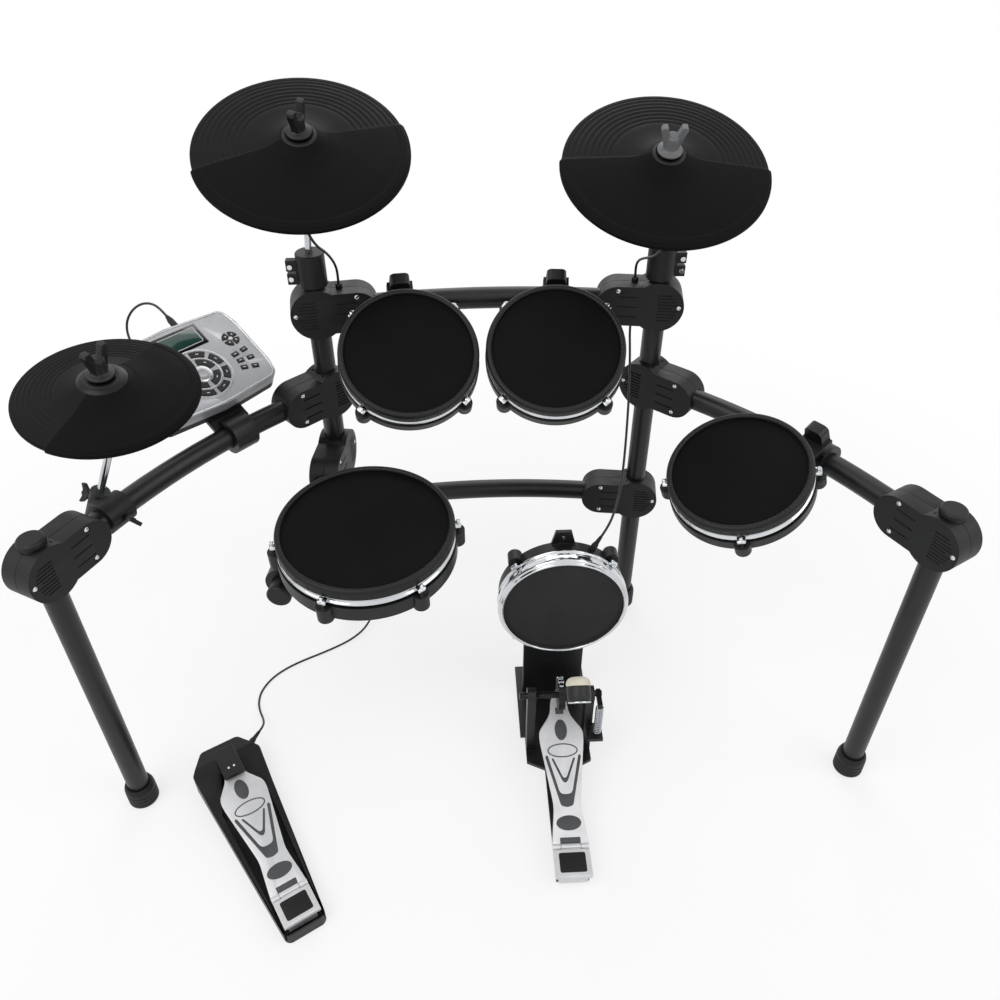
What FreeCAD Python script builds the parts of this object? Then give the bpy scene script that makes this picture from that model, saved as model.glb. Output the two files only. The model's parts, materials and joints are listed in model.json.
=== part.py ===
import FreeCAD, Part
import math
import os
import re
import Sketcher

# Driving sizes of the drum kit, in millimetres and degrees
SIZES = {
    # Tubes of the rack
    "tube_radius": 19,
    "tube_wall": 2,
    "fit_gap": 0.05,
    "turn_gap": 0.5,
    "post_x": 299,
    "post_top": 852,
    "leg_x": 667,
    "leg_reach": 462,
    "leg_top": 640,
    "upper_bar_drop": 95,
    "lower_bar_z": 320,
    "wing_z": 592,
    "bar_bow": 8,
    "wing_bow": 10,
    "snare_arm_z": 448,
    "snare_arm_turn": 8.6,
    "snare_arm_length": 392,
    # Tube clamps
    "clamp_disc_radius": 46,
    "clamp_arm_length": 70,
    "clamp_arm_radius": 37,
    "clamp_thickness": 54,
    "clamp_socket": 48,
    "split_gap": 0.4,
    "slot_height": 2.4,
    "slot_pitch": 6,
    "slot_depth": 1.8,
    "screw_inset": 9,
    "screw_side": 28,
    "screw_radius": 2.4,
    "screw_head_radius": 4.5,
    "screw_head": 3,
    # Feet, caps and collars
    "foot_radius": 27,
    "foot_height": 48,
    "foot_floor": 8,
    "cap_lip": 1.5,
    "cap_height": 10,
    "cap_plug": 14,
    "collar_wall": 5.5,
    "collar_height": 48,
    "collar_web": 10,
    "ear_reach": 17,
    "ear_width": 14,
    "ear_notch": 5,
    # Cymbal rods, seats and nuts
    "cymbal_rod_radius": 6,
    "cymbal_tip": 75,
    "cymbal_rod_bend": 30,
    "rod_insert": 40,
    "crash_rise": 199,
    "ride_rise": 162.5,
    "crash_lean": 9.5,
    "ride_lean": 18,
    "rod_straight": 8,
    "cymbal_tilt": 23.4,
    "crash_turn": 10.5,
    "ride_turn": 1.4,
    "hihat_x": 554,
    "hihat_y": 333,
    "hihat_z": 819,
    "hihat_tilt": 8.8,
    "hihat_turn": 32.7,
    "hihat_clear": 8.5,
    "hihat_rod_offset": 34,
    "hihat_rod_below": 40,
    "rod_clamp_width": 46,
    "rod_clamp_height": 52,
    "rod_clamp_wall": 9,
    "bolt_radius": 4,
    "bolt_reach": 22,
    "bolt_wing": 15,
    "nut_radius": 22,
    "nut_height": 46,
    "nut_lift": 3,
    "nut_hub": 11.5,
    "nut_wing": 11,
    "crash_nut_turn": 68,
    "ride_nut_turn": 0,
    "hihat_nut_turn": 60,
    "seat_radius": 19,
    "seat_sleeve": 1.5,
    # Cymbal pads
    "cymbal_radius": 168,
    "hihat_radius": 130,
    "cymbal_hole": 10,
    "bell_rise": 15,
    "bell_radius": 44,
    "edge_drop": 14,
    "cover_thick": 3.2,
    "edge_lip": 4,
    "ball_radius": 16.35,
    "ball_gap": 0.05,
    "jack_boss": 26,
    # Drum pads
    "tom_head_radius": 104,
    "tom_depth": 50,
    "snare_head_radius": 130,
    "snare_depth": 58,
    "kick_head_radius": 108,
    "kick_depth": 54,
    "head_thick": 4,
    "head_lap": 3,
    "rim_width": 10.5,
    "rim_rise": 6,
    "rim_drop": 13,
    "rim_wall": 3,
    "hoop_wall": 3,
    "hoop_drop": 26,
    "hoop_flange": 4,
    "shell_wall": 5,
    "shell_floor": 4,
    "shell_step": 2.5,
    "tom_flare": 12.5,
    "snare_flare": 12.5,
    "kick_flare": 7,
    "tray_top": 30,
    "lug_radius": 13,
    "lug_out": 13,
    "tension_rod": 2.6,
    "tension_head": 3.6,
    "claw_lip": 0.6,
    "tension_out": 16,
    "claw_width": 14,
    "claw_thick": 6.5,
    "sensor_radius": 22,
    "sensor_tip": 9,
    # Brackets of the pads on their bars
    "tom_tilt": 35,
    "tom_3_tilt": 23,
    "snare_tilt": 0.4,
    "snare_pitch": 3.8,
    "snare_lug_turn": 15.6,
    "tom_gap": 10,
    "tom_pair_x": 15,
    "tom_3_along": 25,
    "tom_3_lug_turn": -3.5,
    "tom_3_shift": 31,
    "snare_along": 348,
    "tom_reach": 33,
    "tom_drop": 54,
    "snare_reach": 4.6,
    "snare_drop": 70.3,
    "bracket_width": 44,
    "bracket_ring": 31,
    "bracket_plate": 8,
    "bracket_lap": 60,
    "bracket_tab": 20,
    "tom_tab_top": 22,
    "snare_tab_top": 60,
    # Kick pad, tower and beater pedal
    "kick_x": 120,
    "kick_face": 313.6,
    "kick_z": 313,
    "pedal_x": 114,
    "tower_width": 118,
    "tower_plate": 12,
    "tower_top": 372,
    "tower_back": 190,
    "floor_plate": 8,
    "axle_y": 390,
    "axle_z": 162,
    "axle_radius": 6,
    "axle_half": 76,
    "post_out": 54,
    "post_wide": 16,
    "post_deep": 24,
    "bearing_radius": 15,
    "cam_radius": 28,
    "cam_width": 12,
    "beater_x": 15,
    "beater_lean": 36,
    "beater_reach": 163,
    "beater_shaft": 4,
    "beater_radius": 21,
    "beater_length": 44,
    "lever_reach": 26,
    "lever_out": 70,
    "spring_wire": 1.1,
    "spring_radius": 6.5,
    "spring_turns": 14,
    "spring_low": 78,
    "chain_width": 12,
    "chain_thick": 5,
    "chain_pitch": 9,
    # Footboards and heel plates
    "board_length": 276,
    "board_thick": 6,
    "board_toe": 15,
    "board_shoulder": 41,
    "board_waist": 24,
    "board_heel": 32,
    "shoulder_back": 72,
    "waist_back": 205,
    "notch_half": 18,
    "hinge_radius": 6,
    "hinge_pin": 3,
    "hinge_z": 34,
    "hinge_y": 620,
    "kick_slope": 16.8,
    "hihat_slope": 8,
    "heel_length": 50,
    "heel_thick": 9,
    # Hi-hat pedal
    "pedal_heel_x": 365.6,
    "pedal_heel_y": 676.3,
    "pedal_turn": 30.3,
    "toe_half": 65,
    "toe_end": 338,
    "toe_back": 296,
    "toe_front": 222,
    "toe_flat": 36,
    "toe_height": 46,
    "toe_round": 12,
    "rail_height": 26,
    "heel_rail": 4,
    "board_play": 3,
    "cap_rise": 85,
    "cap_half": 19,
    "cap_front": 230,
    # Sound module
    "module_width": 240,
    "module_depth": 165,
    "module_case": 22,
    "module_back": 14,
    "module_corner": 16,
    "module_bulge": 8,
    "module_tilt": 27,
    "module_along": 103,
    "module_reach": 14,
    "key_rise": 1.6,
    "key_sink": 3,
    "key_gap": 0.4,
    "dial_y": 62,
    "ring_radius": 47,
    "ring_width": 11,
    "ring_inner": 30,
    "ring_inner_width": 11,
    "cursor_x": 88,
    "cursor_y": 102,
    "cursor_radius": 15,
    "outer_keys": 8,
    "inner_keys": 4,
    "cursor_keys": 4,
    "cursor_width": 10,
    "key_arc": 74,
    "key_arc_step": 20,
    "key_arc_turn": 12,
    "screen_x": 0,
    "screen_y": 137,
    "screen_width": 104,
    "screen_depth": 46,
    "key_long": 12,
    "key_short": 8,
    # Cords and plugs
    "cord_radius": 2.2,
    "cord_floor": 0.4,
    "plug_radius": 6,
    "plug_length": 34,
    "grommet_height": 8,
    "kick_jack_turn": 64,
    "module_jack_x": 30,
    "hat_jack_z": 30,
}

V = FreeCAD.Vector
UP = V(0, 0, 1)
doc = FreeCAD.newDocument("drum_kit")
sheet = doc.addObject("Spreadsheet::Sheet", "sizes")
for row, (word, size) in enumerate(SIZES.items(), 1):
    sheet.set(f"A{row}", word)
    sheet.set(f"B{row}", str(size))
    sheet.setAlias(f"B{row}", word)
doc.recompute()
nodes = []
pivots = {}


def bind(text):
    """The expression with the name of each size pointed at its cell."""
    return re.sub(r"[a-z][a-z0-9_]*", lambda found: f"sizes.{found[0]}" if found[0] in SIZES else found[0], str(text))


def value(text):
    """The number that an expression on the sizes comes to."""
    return float(sheet.evalExpression(bind(text)))


def at(point, direction=UP, spin=0):
    """A placement that carries Z onto a direction, after a turn about Z in degrees."""
    return FreeCAD.Placement(point, FreeCAD.Rotation(UP, direction).multiply(FreeCAD.Rotation(UP, spin)))


def frame(origin, along, up=UP):
    """A placement with X along a direction and Z as near up as it can lie."""
    x = V(along).normalize()
    y = V(up).cross(x).normalize()
    return FreeCAD.Placement(origin, FreeCAD.Rotation(x, y, x.cross(y), "XYZ"))


def tilted(origin, side, slope):
    """A placement whose X runs along side, leaned so that its Y climbs by slope degrees."""
    return frame(origin, side).multiply(FreeCAD.Placement(V(), FreeCAD.Rotation(V(1, 0, 0), slope)))


def carry(place, *spot):
    """A point of a placement's own frame, in the frame of the kit."""
    return place.multVec(V(*spot))


def outline(body, role, points):
    """A closed outline of straight sides on one plane of the body, each corner bound to the sheet."""
    sketch = body.newObject("Sketcher::SketchObject", body.Name + "_outline")
    plane = next(item for item in body.Origin.OriginFeatures if item.Role == role)
    sketch.AttachmentSupport = [(plane, "")]
    sketch.MapMode = "FlatFace"
    corners = [V(value(across), value(upward), 0) for across, upward in points]
    for start, finish in zip(corners, corners[1:] + corners[:1]):
        sketch.addGeometry(Part.LineSegment(start, finish))
    for side in range(len(points)):
        sketch.addConstraint(Sketcher.Constraint("Coincident", side, 2, (side + 1) % len(points), 1))
    for side, texts in enumerate(points):
        for kind, number, text in zip(("DistanceX", "DistanceY"), corners[side], texts):
            place = sketch.addConstraint(Sketcher.Constraint(kind, -1, 1, side, 1, number))
            sketch.setExpression(f"Constraints[{place}]", bind(text))
    return sketch


def both_sides(points):
    """An outline from its right-hand corners, with the left-hand ones added."""
    return points + [(f"-({across})", upward) for across, upward in points[::-1]]


def turned(name, points, angle=360):
    """A body turned about Z from an outline of (radius, height) corners."""
    body = doc.addObject("PartDesign::Body", name)
    sketch = outline(body, "XZ_Plane", points)
    spin = body.newObject("PartDesign::Revolution", name + "_spin")
    spin.Profile = sketch
    spin.ReferenceAxis = (sketch, ["V_Axis"])
    spin.Angle = angle
    return body


def plate(name, points, thickness, role="XY_Plane", middle=False):
    """A body padded from an outline."""
    body = doc.addObject("PartDesign::Body", name)
    sketch = outline(body, role, points)
    pad = body.newObject("PartDesign::Pad", name + "_pad")
    pad.Profile = sketch
    pad.setExpression("Length", bind(thickness))
    pad.Midplane = middle
    return body


def rounded(body, radius):
    """Rounds the upright corners of a padded body."""
    doc.recompute()
    tip = body.Tip
    picked = []
    for index, edge in enumerate(tip.Shape.Edges, 1):
        first, last = edge.Vertexes[0].Point, edge.Vertexes[-1].Point
        if abs(first.x - last.x) + abs(first.y - last.y) < value("fit_gap"):
            picked.append(f"Edge{index}")
    fillet = body.newObject("PartDesign::Fillet", body.Name + "_round")
    fillet.Base = (tip, picked)
    fillet.setExpression("Radius", bind(radius))
    return body


def rod(name, radius, length, place=FreeCAD.Placement(), angle=360):
    """A round bar from the origin of its placement along Z."""
    bar = doc.addObject("Part::Cylinder", name)
    bar.setExpression("Radius", bind(radius))
    bar.setExpression("Height", bind(length))
    bar.setExpression("Angle", bind(angle))
    bar.Placement = place
    return bar


def ball(name, radius, lowest=-90, highest=90):
    """A ball about the origin, or the band of it between two latitudes."""
    piece = doc.addObject("Part::Sphere", name)
    piece.setExpression("Radius", bind(radius))
    piece.Angle1 = lowest
    piece.Angle2 = highest
    return piece


def block(name, wide, deep, tall, centre=V(), place=FreeCAD.Placement()):
    """A box about a centre that is given in a placement's own frame."""
    box = doc.addObject("Part::Box", name)
    box.setExpression("Length", bind(wide))
    box.setExpression("Width", bind(deep))
    box.setExpression("Height", bind(tall))
    corner = centre - V(value(wide), value(deep), value(tall)) * 0.5
    box.Placement = place.multiply(FreeCAD.Placement(corner, FreeCAD.Rotation()))
    return box


def fuse(name, *pieces):
    """Several pieces joined into one."""
    joined = doc.addObject("Part::MultiFuse", name)
    joined.Shapes = list(pieces)
    return joined


def cut(name, base, *tools):
    """A piece with others taken out of it."""
    taken = doc.addObject("Part::Cut", name)
    taken.Base = base
    taken.Tool = tools[0] if len(tools) == 1 else fuse(name + "_tools", *tools)
    return taken


def copy(piece, place):
    """One more of the same piece, at a place of its own."""
    link = doc.addObject("App::Link", piece.Name + "_copy")
    link.LinkedObject = piece
    link.LinkTransform = True
    link.Placement = place
    return link


def solid(name, shape):
    """A piece whose shape is worked out along a path."""
    piece = doc.addObject("Part::Feature", name)
    piece.Shape = shape
    return piece


def node(label, *pieces):
    """A named sub-part of the kit, as the group of its solids."""
    group = doc.addObject("Part::Compound", label)
    group.Links = list(pieces)
    group.Label = label
    nodes.append(group)
    return group


def corner_arc(start, corner, finish):
    """The arc that is tangent to both sides of a corner at two points equally far from it."""
    reach = (corner - start).Length
    middle = (start + finish) * 0.5
    drop = (middle - corner).Length
    radius = reach * (start - middle).Length / drop
    crown = corner + (middle - corner) * ((math.hypot(radius, reach) - radius) / drop)
    return Part.Arc(start, crown, finish).toShape(), radius


def path(corners, reaches):
    """Straight runs through the corners, with an arc at each that starts its reach before the corner."""
    edges = []
    radii = []
    last = corners[0]
    for before, corner, after, reach in zip(corners, corners[1:], corners[2:], reaches):
        start = corner + (before - corner).normalize() * reach
        finish = corner + (after - corner).normalize() * reach
        arc, radius = corner_arc(start, corner, finish)
        edges += [Part.makeLine(last, start), arc]
        radii.append(radius)
        last = finish
    edges.append(Part.makeLine(last, corners[-1]))
    return Part.Wire(edges), radii


def swept(wire, start, direction, radius):
    """A round section carried along a wire."""
    ring = Part.Wire([Part.makeCircle(radius, start, direction)])
    return wire.makePipeShell([ring], True, False)


def bent(name, corners, bend, radius, bore=0):
    """A bar or tube with the same bend radius at each of its corners."""
    reaches = []
    for before, corner, after in zip(corners, corners[1:], corners[2:]):
        turn = (corner - before).getAngle(after - corner)
        reaches.append(bend * math.tan(turn / 2))
    wire, _ = path(corners, reaches)
    direction = corners[1] - corners[0]
    shape = swept(wire, corners[0], direction, radius)
    if bore:
        shape = shape.cut(swept(wire, corners[0], direction, bore))
    return solid(name, shape)


def cord(name, corners):
    """A cord along a route of short runs, rounded at every corner."""
    runs = [(after - before).Length for before, after in zip(corners, corners[1:])]
    wire, radii = path(corners, [0.45 * min(pair) for pair in zip(runs, runs[1:])])
    radius = value("cord_radius")
    shape = swept(wire, corners[0], corners[1] - corners[0], radius)
    full = math.pi * radius * radius * wire.Length
    print(name, "least bend", round(min(radii), 1), "volume share", round(shape.Volume / full, 4), "runs",
          [round(run) for run in runs])
    return solid(name, shape)


# Bowed tubes: the line of a bar between two uprights, and the frames of the clamps at its ends
tube = value("tube_radius")
bore = value("tube_radius - tube_wall")
clamp_end = value("clamp_arm_length + clamp_arm_radius")
bar_start = value("clamp_arm_length + clamp_arm_radius - clamp_socket")


class Bow:
    """A level tube between two uprights, straight in its clamps and one arc between them."""

    def __init__(self, first, last, angle, outward):
        """Takes the two uprights' points, the bow angle in degrees and the side it bows to."""
        self.angle = math.radians(angle)
        self.middle = (first + last) * 0.5
        self.along = (last - first).normalize()
        self.outward = outward
        half = (last - first).Length / 2
        slant = half / math.cos(self.angle)
        self.radius = (slant - clamp_end - value("turn_gap")) / math.tan(self.angle)
        self.apex = self.middle + outward * (half * math.tan(self.angle))
        self.centre = self.apex - outward * (self.radius / math.cos(self.angle))
        self.first, self.last = first, last
        self.first_way = (self.apex - first).normalize()
        self.last_way = (self.apex - last).normalize()

    def tube(self, name):
        """The hollow tube itself."""
        corners = [self.first + self.first_way * bar_start, self.apex, self.last + self.last_way * bar_start]
        return bent(name, corners, self.radius, tube, bore)

    def spot(self, along):
        """The axis point and tangent at a distance along from the middle."""
        lean = math.asin(along / self.radius)
        point = self.centre + (self.along * math.sin(lean) + self.outward * math.cos(lean)) * self.radius
        return point, self.along * math.cos(lean) - self.outward * math.sin(lean)


post_x, leg_x, leg_y = value("post_x"), value("leg_x"), -value("leg_reach")
wing_z = value("wing_z")
left_post, right_post = V(-post_x, 0, 0), V(post_x, 0, 0)
left_leg, right_leg = V(-leg_x, leg_y, 0), V(leg_x, leg_y, 0)
back = V(0, 1, 0)
upper_z = value("post_top - upper_bar_drop")
upper = Bow(left_post + UP * upper_z, right_post + UP * upper_z, value("bar_bow"), back)
lower = Bow(left_post + UP * value("lower_bar_z"), right_post + UP * value("lower_bar_z"), value("bar_bow"), back)
wing_side = UP.cross(left_post - left_leg).normalize()
left_wing = Bow(left_leg + UP * wing_z, left_post + UP * wing_z, value("wing_bow"), wing_side)
right_side = V(-wing_side.x, wing_side.y, 0)
right_wing = Bow(right_leg + UP * wing_z, right_post + UP * wing_z, value("wing_bow"), right_side)
arm_turn = math.radians(value("snare_arm_turn"))
arm_way = V(-math.sin(arm_turn), -math.cos(arm_turn), 0)
arm_root = left_post + UP * value("snare_arm_z")


# Posts, legs, bars and the snare arm
def upright(name, point, top):
    """One hollow upright tube from the floor of its foot."""
    length = f"{top} - foot_floor"
    base = point + UP * value("foot_floor")
    outer = rod(name + "_outer", "tube_radius", length, at(base))
    return cut(name, outer, rod(name + "_bore", "tube_radius - tube_wall", length, at(base)))


node("rack_uprights", upright("left_post", left_post, "post_top"), upright("right_post", right_post, "post_top"),
     upright("left_leg", left_leg, "leg_top"), upright("right_leg", right_leg, "leg_top"))
node("rear_bars", upper.tube("upper_bar"), lower.tube("lower_bar"))
node("wing_bars", left_wing.tube("left_wing"), right_wing.tube("right_wing"))
arm_start = at(arm_root + arm_way * bar_start, arm_way)
arm_length = "snare_arm_length - clamp_arm_length - clamp_arm_radius + clamp_socket"
arm_outer = rod("arm_outer", "tube_radius", arm_length, arm_start)
arm_bore = rod("arm_bore", "tube_radius - tube_wall", arm_length, arm_start)
node("snare_arm", cut("snare_arm_tube", arm_outer, arm_bore))

# Rubber feet under the four uprights
foot = turned("foot", [
    ("0", "0"), ("foot_radius", "0"), ("foot_radius", "foot_floor"),
    ("tube_radius + collar_wall", "foot_height - collar_wall"), ("tube_radius + collar_wall - cap_lip", "foot_height"),
    ("tube_radius + fit_gap", "foot_height"), ("tube_radius + fit_gap", "foot_floor"), ("0", "foot_floor")])
node("rubber_feet", *[copy(foot, at(point)) for point in (left_post, right_post, left_leg, right_leg)])

# Caps that plug the open ends of the legs and of the snare arm
cap = turned("tube_cap", [
    ("0", "-cap_plug"), ("tube_radius - tube_wall - fit_gap", "-cap_plug"), ("tube_radius - tube_wall - fit_gap", "0"),
    ("tube_radius + cap_lip", "0"), ("tube_radius + cap_lip", "cap_height - cap_lip * 2"),
    ("tube_radius - cap_lip", "cap_height"), ("0", "cap_height")])
arm_end = arm_root + arm_way * value("snare_arm_length")
node("tube_caps", copy(cap, at(left_leg + UP * value("leg_top"))), copy(cap, at(right_leg + UP * value("leg_top"))),
     copy(cap, at(arm_end, arm_way)))

# Tube clamps: one moulded half, used on both sides of every joint of the rack
half_thick = "clamp_thickness / 2 - split_gap / 2"
front = V(0, -value("split_gap / 2"), 0)
toward = V(0, -1, 0)
clamp_blank = fuse(
    "clamp_blank",
    rod("clamp_disc", "clamp_disc_radius", half_thick, at(front, toward)),
    block("clamp_web", "clamp_arm_length", half_thick, "clamp_arm_radius * 2",
          V(value("clamp_arm_length / 2"), -value("clamp_thickness / 4 + split_gap / 4"), 0)),
    rod("clamp_nose", "clamp_arm_radius", half_thick, at(front + V(value("clamp_arm_length"), 0, 0), toward)))
screw_spots = [V(-value("clamp_disc_radius - screw_inset"), 0, 0), V(value("clamp_arm_length"), 0, value("screw_side")),
               V(value("clamp_arm_length"), 0, -value("screw_side"))]
face = -value("clamp_thickness / 2")
clamp_tools = [
    rod("clamp_post_bore", "tube_radius + fit_gap", "clamp_disc_radius * 3",
        at(V(0, 0, -value("clamp_disc_radius * 1.5")))),
    rod("clamp_bar_bore", "tube_radius + fit_gap", "clamp_socket * 2", at(V(bar_start, 0, 0), V(1, 0, 0)))]
for spot in screw_spots:
    clamp_tools.append(rod("clamp_screw_hole", "screw_radius + fit_gap", "clamp_thickness", at(spot, toward)))
    clamp_tools.append(rod("clamp_counterbore", "screw_head_radius + fit_gap * 4", "screw_head * 2",
                           at(spot + V(0, face + value("screw_head"), 0), toward)))
slot_span = value("clamp_disc_radius - screw_inset * 1.4")
for step in range(-4, 5):
    height = step * value("slot_pitch")
    far = math.sqrt(slot_span ** 2 - height ** 2)
    if step == 0:
        far = slot_span - value("screw_inset")
    clamp_tools.append(block("clamp_slot", str(far), "slot_depth * 2", "slot_height", V(-far / 2, face, height)))
for step in (-1, 0, 1):
    height = step * value("clamp_arm_radius * 0.5")
    clamp_tools.append(block("clamp_groove", "clamp_arm_length * 0.5", "slot_depth * 2", "slot_height",
                             V(value("clamp_arm_length * 0.75"), face, height)))
clamp_half = cut("clamp_half", clamp_blank, *clamp_tools)
screw_length = "clamp_thickness - screw_head * 2"
screw = turned("clamp_screw", [
    ("0", "0"), ("screw_radius", "0"), ("screw_radius", screw_length), ("screw_head_radius", screw_length),
    ("screw_head_radius", f"{screw_length} + screw_head * 0.6"), ("screw_radius", f"{screw_length} + screw_head"),
    ("0", f"{screw_length} + screw_head")])


def clamp_frame(origin, way):
    """The frame of a clamp, with its screw heads on the side of the player."""
    player = V(0, -value("hinge_y"), wing_z) - origin
    place = frame(origin, way)
    return place if place.Rotation.multVec(V(0, 1, 0)).dot(player) < 0 else frame(origin, way, -UP)


clamp_frames = [clamp_frame(bow.first, bow.first_way) for bow in (upper, lower, left_wing, right_wing)]
clamp_frames += [clamp_frame(bow.last, bow.last_way) for bow in (upper, lower, left_wing, right_wing)]
clamp_frames.append(clamp_frame(arm_root, arm_way))
flip = FreeCAD.Placement(V(), FreeCAD.Rotation(V(1, 0, 0), 180))
halves = []
screws = []
for place in clamp_frames:
    halves += [copy(clamp_half, place), copy(clamp_half, place.multiply(flip))]
    for spot in screw_spots:
        seat = at(spot + V(0, -face - value("screw_head"), 0), toward)
        screws.append(copy(screw, place.multiply(seat)))
node("tube_clamps", *halves)

# Collars on the rear posts, which grip the cymbal rods
collar_out = "tube_radius + collar_wall"
collar_body = turned("collar_sleeve", [
    ("tube_radius + fit_gap", "-collar_height"), (collar_out, "-collar_height"), (collar_out, "collar_web - cap_lip"),
    (f"{collar_out} - cap_lip", "collar_web"), ("cymbal_rod_radius + fit_gap", "collar_web"),
    ("cymbal_rod_radius + fit_gap", "fit_gap"), ("tube_radius + fit_gap", "fit_gap")])
ear_middle = value(f"{collar_out} + ear_reach / 2 - collar_wall / 2")
ear = block("collar_ear", "ear_reach + collar_wall", "ear_width", "collar_height - ear_notch",
            V(ear_middle, 0, -value("collar_height / 2")))
ear_bore = rod("collar_bore", "tube_radius + fit_gap", "collar_height * 2", at(V(0, 0, -value("collar_height * 2"))))
notch = block("collar_notch", "ear_reach", "ear_width * 2", "ear_notch",
              V(value(f"{collar_out} + ear_reach / 2 + cap_lip"), 0, -value("collar_height / 2")))
ear_x = value(f"{collar_out} + ear_reach * 0.6")
ear_z = [-value("collar_height * 0.27"), -value("collar_height * 0.73")]
ear_holes = []
for height in ear_z:
    spot = V(ear_x, value("ear_width"), height)
    ear_holes.append(rod("ear_hole", "screw_radius + fit_gap", "ear_width * 2", at(spot, toward)))
collar = fuse("collar", collar_body, cut("collar_ears", ear, ear_bore, notch, *ear_holes))
ear_screw = turned("ear_screw", [
    ("0", "-ear_width"), ("screw_radius", "-ear_width"), ("screw_radius", "0"), ("screw_head_radius", "0"),
    ("screw_head_radius", "screw_head"), ("0", "screw_head")])
collars = []
for post, spin in ((left_post, 180), (right_post, 0)):
    place = FreeCAD.Placement(post + UP * value("post_top"), FreeCAD.Rotation(UP, spin))
    collars.append(copy(collar, place))
    side = -1 if spin == 0 else 1
    for height in ear_z:
        spot = V(ear_x, side * value("ear_width / 2"), height)
        screws.append(copy(ear_screw, place.multiply(at(spot, V(0, side, 0)))))
node("post_collars", *collars)
node("rack_screws", *screws)


# Cymbal rods: two in the collars, one in a clamp on the left wing
def normal(tilt, turn):
    """The upward normal of a disc that leans to the player by tilt and is turned by turn."""
    tilt, turn = math.radians(tilt), math.radians(turn)
    return V(math.sin(tilt) * math.sin(turn), -math.sin(tilt) * math.cos(turn), math.cos(tilt))


tip = value("cymbal_tip")
above = value("bell_rise + nut_lift + nut_height * 0.5")
rod_radius = value("cymbal_rod_radius")
cymbals = {}
rods = []
for name, post, side in (("crash", left_post, 1), ("ride", right_post, -1)):
    way = normal(value("cymbal_tilt"), value(f"{name}_turn"))
    straight = post + UP * value("post_top + collar_web + rod_straight")
    elbow = post + V(side * value(f"{name}_lean"), 0, value(f"post_top + {name}_rise") - tip * way.z)
    centre = elbow + way * tip
    corners = [post + UP * value("post_top - rod_insert"), straight, elbow, centre + way * above]
    rods.append(bent(name + "_rod", corners, value("cymbal_rod_bend"), rod_radius))
    cymbals[name] = (centre, way)
hihat_way = normal(value("hihat_tilt"), value("hihat_turn"))
hihat_centre = V(-value("hihat_x"), -value("hihat_y"), value("hihat_z"))
hihat_elbow = hihat_centre - hihat_way * tip
wing_run = left_wing.radius * math.sin(left_wing.angle)
wing_point, wing_tangent = left_wing.spot(value("rod_clamp_width / 2 + hihat_clear") - wing_run)
rod_at_wing = wing_point + UP.cross(wing_tangent) * value("hihat_rod_offset")
lean_way = (hihat_elbow - rod_at_wing).normalize()
foot_of_rod = rod_at_wing - lean_way * value("hihat_rod_below")
rods.append(bent("hihat_rod", [foot_of_rod, hihat_elbow, hihat_centre + hihat_way * above],
                 value("cymbal_rod_bend"), rod_radius))
cymbals["hihat"] = (hihat_centre, hihat_way)
node("cymbal_rods", *rods)

# Clamp of the hi-hat rod: a ring round the wing, a sleeve round the rod, a neck between them and two wing bolts
rod_side = UP.cross(wing_tangent)
clamp_ring = rod("clamp_ring", "rod_clamp_height / 2", "rod_clamp_width",
                 at(wing_point - wing_tangent * value("rod_clamp_width / 2"), wing_tangent))
sleeve_radius = "cymbal_rod_radius + rod_clamp_wall"
clamp_sleeve = rod("clamp_sleeve", sleeve_radius, "rod_clamp_height * 1.2",
                   at(rod_at_wing - lean_way * value("rod_clamp_height * 0.6"), lean_way))
clamp_neck = block("clamp_neck", "rod_clamp_width * 0.6", "hihat_rod_offset", "rod_clamp_height * 0.7",
                   V(0, value("hihat_rod_offset / 2"), 0), frame(wing_point, wing_tangent))
jaw_tube = rod("jaw_tube", "tube_radius + fit_gap * 6", "rod_clamp_width * 2",
               at(wing_point - wing_tangent * value("rod_clamp_width"), wing_tangent))
jaw_rod = rod("jaw_rod", "cymbal_rod_radius + fit_gap", "rod_clamp_height * 3",
              at(rod_at_wing - lean_way * value("rod_clamp_height * 1.5"), lean_way))
bolt_places = [
    at(wing_point - rod_side * value("rod_clamp_height / 2"), -rod_side),
    at(rod_at_wing + rod_side * value(sleeve_radius) + lean_way * value("rod_clamp_height * 0.3"), rod_side)]
bolt_holes = [rod("bolt_hole", "bolt_radius + fit_gap", "bolt_radius * 2",
                  place.multiply(at(-UP * value("bolt_radius"), UP))) for place in bolt_places]
wing_bolt = fuse(
    "wing_bolt", rod("bolt_stem", "bolt_radius", "bolt_reach", at(-UP * value("bolt_radius * 0.9"))),
    plate("bolt_wings", [
        ("-bolt_radius", "bolt_reach * 0.25"), ("bolt_radius", "bolt_reach * 0.25"), ("bolt_wing", "bolt_reach * 0.75"),
        ("bolt_wing", "bolt_reach"), ("bolt_radius * 1.5", "bolt_reach * 0.8"), ("-bolt_radius * 1.5", "bolt_reach * 0.8"),
        ("-bolt_wing", "bolt_reach"), ("-bolt_wing", "bolt_reach * 0.75")], "bolt_radius * 1.6", "XZ_Plane", True))
clamp_blank = fuse("hihat_clamp_blank", clamp_ring, clamp_sleeve, clamp_neck)
node("hihat_rod_clamp", cut("hihat_clamp", clamp_blank, jaw_tube, jaw_rod, *bolt_holes),
     *[copy(wing_bolt, place) for place in bolt_places])

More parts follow.
